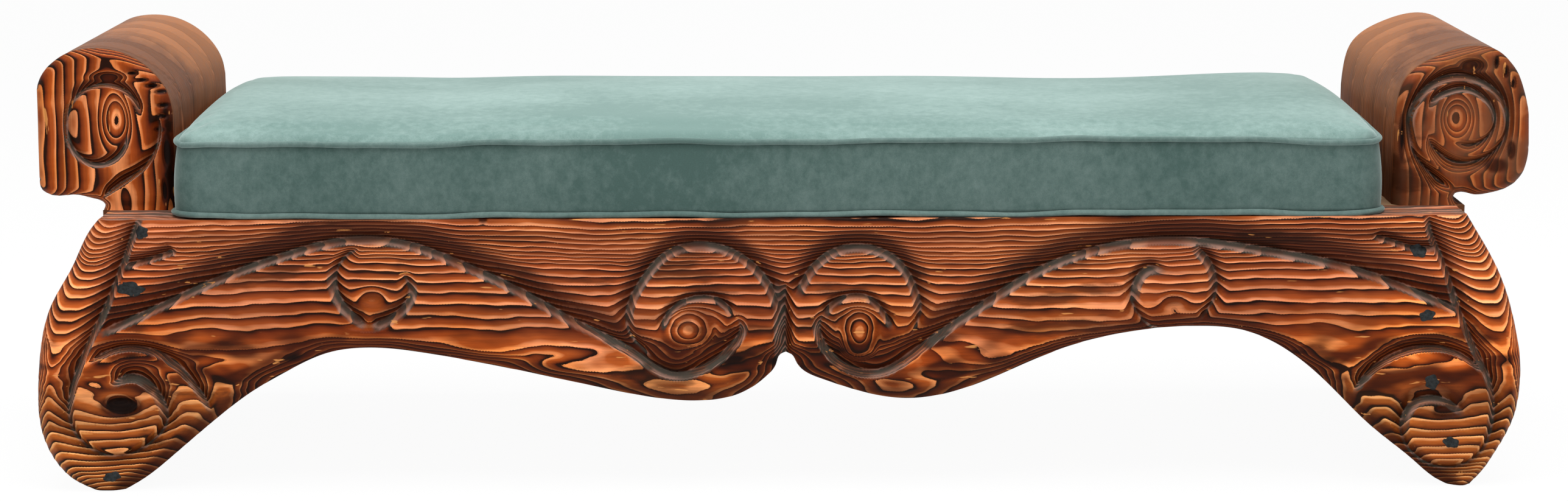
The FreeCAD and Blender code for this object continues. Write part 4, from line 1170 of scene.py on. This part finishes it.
class BENCH_OT_press_filler(bpy.types.Operator):
    """Press the dark filler over the long screws of the front board"""
    bl_idname = "bench.press_filler"
    bl_label = "Press filler"

    def execute(self, context):
        points = []
        faces = []
        dice = np.random.default_rng(5)
        board = bpy.data.objects["front_board_carved"]
        angles = np.linspace(0, 2 * math.pi, 28, False)
        for centre, wide_mm, high_mm in FILLER_SPOTS:
            wobble = 1 + 0.13 * np.sin(2 * angles + dice.uniform(0, 6))
            wobble += 0.11 * np.sin(5 * angles + dice.uniform(0, 6))
            reach = np.stack([np.cos(angles) * wide_mm, np.sin(angles) * high_mm], axis=1)
            reach *= wobble[:, None] * MM
            loops = len(points) + np.arange(len(FILLER_LOOPS) * len(angles)).reshape(-1, len(angles))
            for share, proud_mm in FILLER_LOOPS:
                for x, z in board_spots(centre) + share * reach:
                    hit, spot, _, _ = board.ray_cast(Vector((x, FRONT_FACE - 0.05, z)), Vector((0, 1, 0)))
                    points.append((x, (spot.y if hit else FRONT_FACE) - proud_mm * MM, z))
            for first, second in zip(loops[:-1], loops[1:]):
                faces += [quad[1:] + quad[:1] for quad in band(first, second)]
            faces += [loops[0].tolist(), loops[-1, ::-1].tolist()]
        piece = add_mesh("screw_filler", points, faces)
        finish_piece(piece, "bench_filler", "frame", ["front_screw_plugs"])
        return {"FINISHED"}


def crowded(count):
    """Numbers from -1 to 1 that stand closer together towards both ends."""
    even = np.linspace(-1, 1, count)
    return 0.45 * even + 0.55 * np.sin(even * math.pi / 2)


def bulge(far, width):
    """Quarter of an ellipse: rises steeply from 0 at an edge to 1 at the given width."""
    return np.sqrt(1 - (1 - np.clip(far / width, 0, 1)) ** 2)


class BENCH_OT_sew_cushion(bpy.types.Operator):
    """Sew, fill and pipe the box cushion"""
    bl_idname = "bench.sew_cushion"
    bl_label = "Sew cushion"

    def execute(self, context):
        self.sizes = context.scene.bench_cushion
        low, high = (np.array(corner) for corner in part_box("cushion_boxing"))
        self.middle = (low + high) / 2
        self.half = (high - low) / 2
        self.columns, self.rows, self.levels = (
            max(least, round(2 * half / self.sizes.pitch)) for least, half in zip((8, 6, 3), self.half))
        self.cut_cover()
        self.join_cover()
        self.fill()
        self.split_cover()
        self.pipe("piping_top", self.top_loop)
        self.pipe("piping_bottom", self.low_loop)
        return {"FINISHED"}

    def plan(self, unit):
        """Places in plan of points of the unit square, with rounded corners and slightly drawn-in sides."""
        straight = self.half[:2] - CUSHION_CORNER
        away = np.abs(unit) * self.half[:2]
        past = np.clip(away - straight, 0, None) / CUSHION_CORNER
        away = np.minimum(away, straight) + CUSHION_CORNER * past * np.sqrt(1 - past[:, ::-1] ** 2 / 2)
        away -= SIDE_DRAW * np.abs(unit) * (1 - unit[:, ::-1] ** 2)
        return self.middle[:2] + np.sign(unit) * away

    def cut_cover(self):
        """Points of the closed cover before it is filled: top, bottom, then the boxing's levels."""
        s, t = np.meshgrid(crowded(self.columns + 1), crowded(self.rows + 1))
        unit = np.stack([s.ravel(), t.ravel()], axis=1)
        s, t = unit.T
        x, y = self.plan(unit).T
        from_end, from_side = ((1 - np.abs(unit)) * self.half[:2]).T
        rise = 0.45 * bulge(from_end, EDGE_BULGE) * bulge(from_side, EDGE_BULGE)
        rise += 0.55 * bulge(from_end, END_BULGE) * (1 - t ** 2)
        uneven = sum(high_mm * MM * np.exp(-((x - place) / wide) ** 2)
                     for place, wide, high_mm in CROWN_WAVES)
        wave = wander(np.stack([x, y], axis=1), (0.5, 0.4), 3)
        seam = self.middle[2] + self.half[2] + SEAM_LIFT + SEAM_WAVE * wave
        seam -= np.where(s < 0, *CORNER_DROPS_MM) * MM * np.abs(s) ** 8 * t ** 4
        top = np.stack([x, y, seam + (self.sizes.crown + uneven) * rise], axis=1)
        sole = BOARD_TOP + self.sizes.piping_radius + 0.4 * MM
        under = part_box("cushion_bottom_panel")[0][2]
        sunk = 1 - np.abs(unit).max(axis=1) ** 14
        spread = CORNER_SPREAD * fade((-0.196 - y) / 0.035) * s ** 9
        bottom = np.stack([x + spread, y, sole + (under - sole) * sunk], axis=1)
        grid = np.arange(len(top)).reshape(self.rows + 1, self.columns + 1)
        self.grid = grid
        self.top_loop = np.concatenate([grid[0], grid[1:, -1], grid[-1, -2::-1], grid[-2:0:-1, 0]])
        self.low_loop = self.top_loop + len(top)
        layers = [top, bottom]
        for share in np.arange(1, self.levels) / self.levels:
            level = top[self.top_loop] * (1 - share) + bottom[self.top_loop] * share
            outward = (level[:, :2] - self.middle[:2]) / self.half[:2]
            outward = np.sign(outward) * np.abs(outward) ** 12
            outward /= np.maximum(np.hypot(*outward.T)[:, None], TINY)
            level[:, :2] += outward * BOXING_BOW * 4 * share * (1 - share)
            layers.append(level)
        self.points = np.concatenate(layers)

    def join_cover(self):
        """Faces of the top, the bottom and the boxing."""
        grid = self.grid
        top = np.stack([grid[:-1, :-1], grid[:-1, 1:], grid[1:, 1:], grid[1:, :-1]], axis=-1).reshape(-1, 4)
        levels = np.arange(2 * grid.size, len(self.points)).reshape(-1, len(self.top_loop))
        loops = [self.top_loop, *levels, self.low_loop]
        self.top_faces = top.tolist()
        self.low_faces = (top[:, ::-1] + grid.size).tolist()
        self.side_faces = sum((band(upper, lower) for upper, lower in zip(loops[:-1], loops[1:])), [])

    def fill(self):
        """Blow the cover up with a cloth simulation, and limit how far it moves."""
        scene = bpy.context.scene
        blank = add_mesh("cover_blank", self.points, self.top_faces + self.low_faces + self.side_faces)
        held = set(self.top_loop.tolist()) | set(range(self.grid.size, 2 * self.grid.size))
        blank.vertex_groups.new(name="seams").add(sorted(held), 1.0, "REPLACE")
        cloth = blank.modifiers.new("cover", "CLOTH").settings
        cloth.use_pressure = True
        cloth.uniform_pressure_force = self.sizes.pressure
        cloth.effector_weights.gravity = 0
        cloth.vertex_group_mass = "seams"
        cloth.tension_stiffness = cloth.compression_stiffness = 18
        cloth.bending_stiffness = 2.5
        cloth.quality = 5
        for step in range(1, self.sizes.frames + 1):
            scene.frame_set(step)
        shaped = blank.evaluated_get(bpy.context.evaluated_depsgraph_get())
        moved = np.zeros(3 * len(self.points))
        shaped.data.vertices.foreach_get("co", moved)
        push = moved.reshape(-1, 3) - self.points
        far = np.linalg.norm(push, axis=1)
        print("cover moves at most %.1f mm" % (far.max() / MM))
        share = self.sizes.swell * np.tanh(far / self.sizes.swell) / np.maximum(far, TINY)
        self.points = self.points + push * share[:, None]
        scene.frame_set(1)
        bpy.data.objects.remove(blank)

    def split_cover(self):
        """Top panel, boxing and bottom panel as pieces of their own, and the foam inside."""
        for name, faces, material, node in (
                ("cushion_top_cover", self.top_faces, "bench_top_velvet_painted_light", "cushion_top_panel"),
                ("cushion_boxing_cover", self.side_faces, "bench_side_velvet_painted_shade", "cushion_boxing"),
                ("cushion_bottom_cover", self.low_faces, "bench_side_velvet_painted_shade", "cushion_bottom_panel")):
            used, inverse = np.unique(faces, return_inverse=True)
            piece = add_mesh(name, self.points[used], inverse.reshape(-1, 4).tolist())
            if name != "cushion_bottom_cover":
                smooth = piece.modifiers.new("smooth", "SUBSURF")
                smooth.levels = smooth.render_levels = 1
                smooth.boundary_smooth = "ALL"
            skin = piece.modifiers.new("cloth", "SOLIDIFY")
            skin.thickness = self.sizes.cover_thick
            skin.offset = -1
            shaped = piece.evaluated_get(bpy.context.evaluated_depsgraph_get())
            mesh = bpy.data.meshes.new_from_object(shaped)
            piece.modifiers.clear()
            piece.data = mesh
            finish_piece(piece, material, "cushion", [node])
        core = self.points - (self.points - self.middle) / self.half * FOAM_INSET
        piece = add_mesh("cushion_core", core, self.top_faces + self.low_faces + self.side_faces)
        finish_piece(piece, "bench_foam", "cushion", ["cushion_foam"])

    def pipe(self, node, loop):
        """A round piping along a seam."""
        seam = self.points[loop]
        ahead = np.roll(seam, -1, axis=0) - np.roll(seam, 1, axis=0)
        outward = np.stack([ahead[:, 1], -ahead[:, 0]], axis=1) / np.hypot(*ahead[:, :2].T)[:, None]
        outward *= np.sign((outward * (seam[:, :2] - self.middle[:2])).sum(axis=1))[:, None]
        outward = np.pad(outward, ((0, 0), (0, 1)))
        radius = self.sizes.piping_radius
        reach = (radius * (1 + 0.05 * wander(seam, (0.05, 0.05, 0.05), 21)))[:, None]
        centre = seam + outward * radius * 0.45
        centre[:, 2] += 1.2 * MM * wander(seam[:, :2], (0.12, 0.12), 22)
        up = np.array((0, 0, 1))
        points = np.stack([centre + reach * (outward * math.cos(angle) + up * math.sin(angle))
                           for angle in np.linspace(0, 2 * math.pi, PIPING_SIDES, False)], axis=1)
        loops = np.arange(len(loop) * PIPING_SIDES).reshape(-1, PIPING_SIDES)
        faces = sum((band(after, here) for here, after in zip(loops, np.roll(loops, -1, axis=0))), [])
        piece = add_mesh(node + "_cord", points.reshape(-1, 3), faces)
        finish_piece(piece, "bench_piping_velvet_painted_shade", "cushion", [node])


class BENCH_OT_set_stage(bpy.types.Operator):
    """Set the floor, the lamps and the camera"""
    bl_idname = "bench.set_stage"
    bl_label = "Set stage"

    def execute(self, context):
        self.look = context.scene.bench_stage
        context.scene.view_settings.view_transform = "Standard"
        self.floor()
        self.sky(context.scene)
        self.lamp("top_lamp", (0, -0.5, 2.6), (0, -0.1, 0.2), (3.2, 2.2), self.look.top_power)
        self.lamp("front_lamp", (-0.4, -4.2, 2.0), (0, 0, 0.3), (3.0, 1.6), self.look.front_power)
        self.camera(context.scene)
        return {"FINISHED"}

    def floor(self):
        """A wide pale floor that keeps a light shadow."""
        corners = ((-1, -1), (1, -1), (1, 1), (-1, 1))
        floor = add_mesh("floor", [(x * FLOOR_REACH, y * FLOOR_REACH, -0.5 * MM) for x, y in corners],
                         [(0, 1, 2, 3)])
        wiring = new_material("floor")
        plain = wiring.add("ShaderNodeBsdfDiffuse", {"Color": (0.9, 0.9, 0.9)}).outputs[0]
        glow = wiring.add("ShaderNodeEmission", {"Color": (1, 1, 1), "Strength": 1.0}).outputs[0]
        both = wiring.add("ShaderNodeMixShader", {0: 0.95, 1: plain, 2: glow}).outputs[0]
        path = wiring.add("ShaderNodeLightPath").outputs["Is Camera Ray"]
        seen = wiring.add("ShaderNodeMixShader", {0: path, 1: plain, 2: both}).outputs[0]
        wiring.add("ShaderNodeOutputMaterial", {"Surface": seen})
        floor.data.materials.append(bpy.data.materials["floor"])

    def sky(self, scene):
        """Even light all round, pure white where the camera looks past the bench."""
        world = bpy.data.worlds.new("studio")
        world.use_nodes = True
        wiring = Wiring(world.node_tree)
        path = wiring.add("ShaderNodeLightPath").outputs
        seen = wiring.math("MAXIMUM", path["Is Camera Ray"], path["Is Glossy Ray"])
        seen = wiring.math("MAXIMUM", seen, path["Is Transmission Ray"])
        strength = wiring.map(seen, 0, 1, self.look.world_level, 1.0)
        back = wiring.add("ShaderNodeBackground", {"Color": (1, 1, 1), "Strength": strength})
        wiring.add("ShaderNodeOutputWorld", {0: back.outputs[0]})
        scene.world = world

    def lamp(self, name, place, target, size, power):
        """A soft rectangular lamp."""
        light = bpy.data.lights.new(name, "AREA")
        light.shape = "RECTANGLE"
        light.size, light.size_y = size
        light.energy = power
        lamp = bpy.data.objects.new(name, light)
        lamp.location = place
        lamp.rotation_euler = (Vector(target) - Vector(place)).to_track_quat("-Z", "Y").to_euler()
        bpy.context.collection.objects.link(lamp)

    def camera(self, scene):
        """The camera at the picture's viewing angle."""
        data = bpy.data.cameras.new("camera")
        data.sensor_fit = "HORIZONTAL"
        data.sensor_width = 36.0
        data.lens = self.look.lens
        camera = bpy.data.objects.new("camera", data)
        camera.location = (0, -self.look.camera_back, self.look.camera_height)
        tilt = Euler((math.pi / 2 - self.look.camera_pitch, 0, 0)).to_matrix()
        roll = Euler((0, 0, self.look.camera_roll)).to_matrix()
        camera.rotation_euler = (tilt @ roll).to_euler()
        bpy.context.collection.objects.link(camera)
        scene.camera = camera


class BENCH_PT_panel(bpy.types.Panel):
    """The bench's settings and steps"""
    bl_label = "Scroll bench"
    bl_idname = "BENCH_PT_panel"
    bl_space_type = "VIEW_3D"
    bl_region_type = "UI"
    bl_category = "Bench"

    def draw(self, context):
        for name, _ in SETTINGS:
            box = self.layout.box()
            group = getattr(context.scene, name)
            for setting in group.bl_rna.properties.keys():
                if setting not in ("rna_type", "name"):
                    box.prop(group, setting)
        for step in STEPS:
            self.layout.operator(step.bl_idname)


STEPS = (BENCH_OT_mix_finishes, BENCH_OT_dress_inner_parts, BENCH_OT_carve_front_board,
         BENCH_OT_brush_back_board, BENCH_OT_roll_arms, BENCH_OT_press_filler, BENCH_OT_sew_cushion,
         BENCH_OT_set_stage)
SETTINGS = (("bench_carving", BenchCarving), ("bench_wood", BenchWood), ("bench_cushion", BenchCushion),
            ("bench_stage", BenchStage))


def register():
    """Add the settings, the steps and the panel."""
    for name, kind in SETTINGS:
        bpy.utils.register_class(kind)
        setattr(bpy.types.Scene, name, PointerProperty(type=kind))
    for kind in (*STEPS, BENCH_PT_panel):
        bpy.utils.register_class(kind)


def unregister():
    """Take the panel, the steps and the settings away."""
    for kind in reversed((*STEPS, BENCH_PT_panel)):
        bpy.utils.unregister_class(kind)
    for name, kind in reversed(SETTINGS):
        delattr(bpy.types.Scene, name)
        bpy.utils.unregister_class(kind)


def main():
    """Make the whole bench and its stage."""
    register()
    bpy.ops.bench.mix_finishes()
    bpy.ops.bench.dress_inner_parts()
    bpy.ops.bench.carve_front_board()
    bpy.ops.bench.brush_back_board()
    bpy.ops.bench.roll_arms()
    bpy.ops.bench.press_filler()
    bpy.ops.bench.sew_cushion()
    bpy.ops.bench.set_stage()


if __name__ == "__main__":
    main()
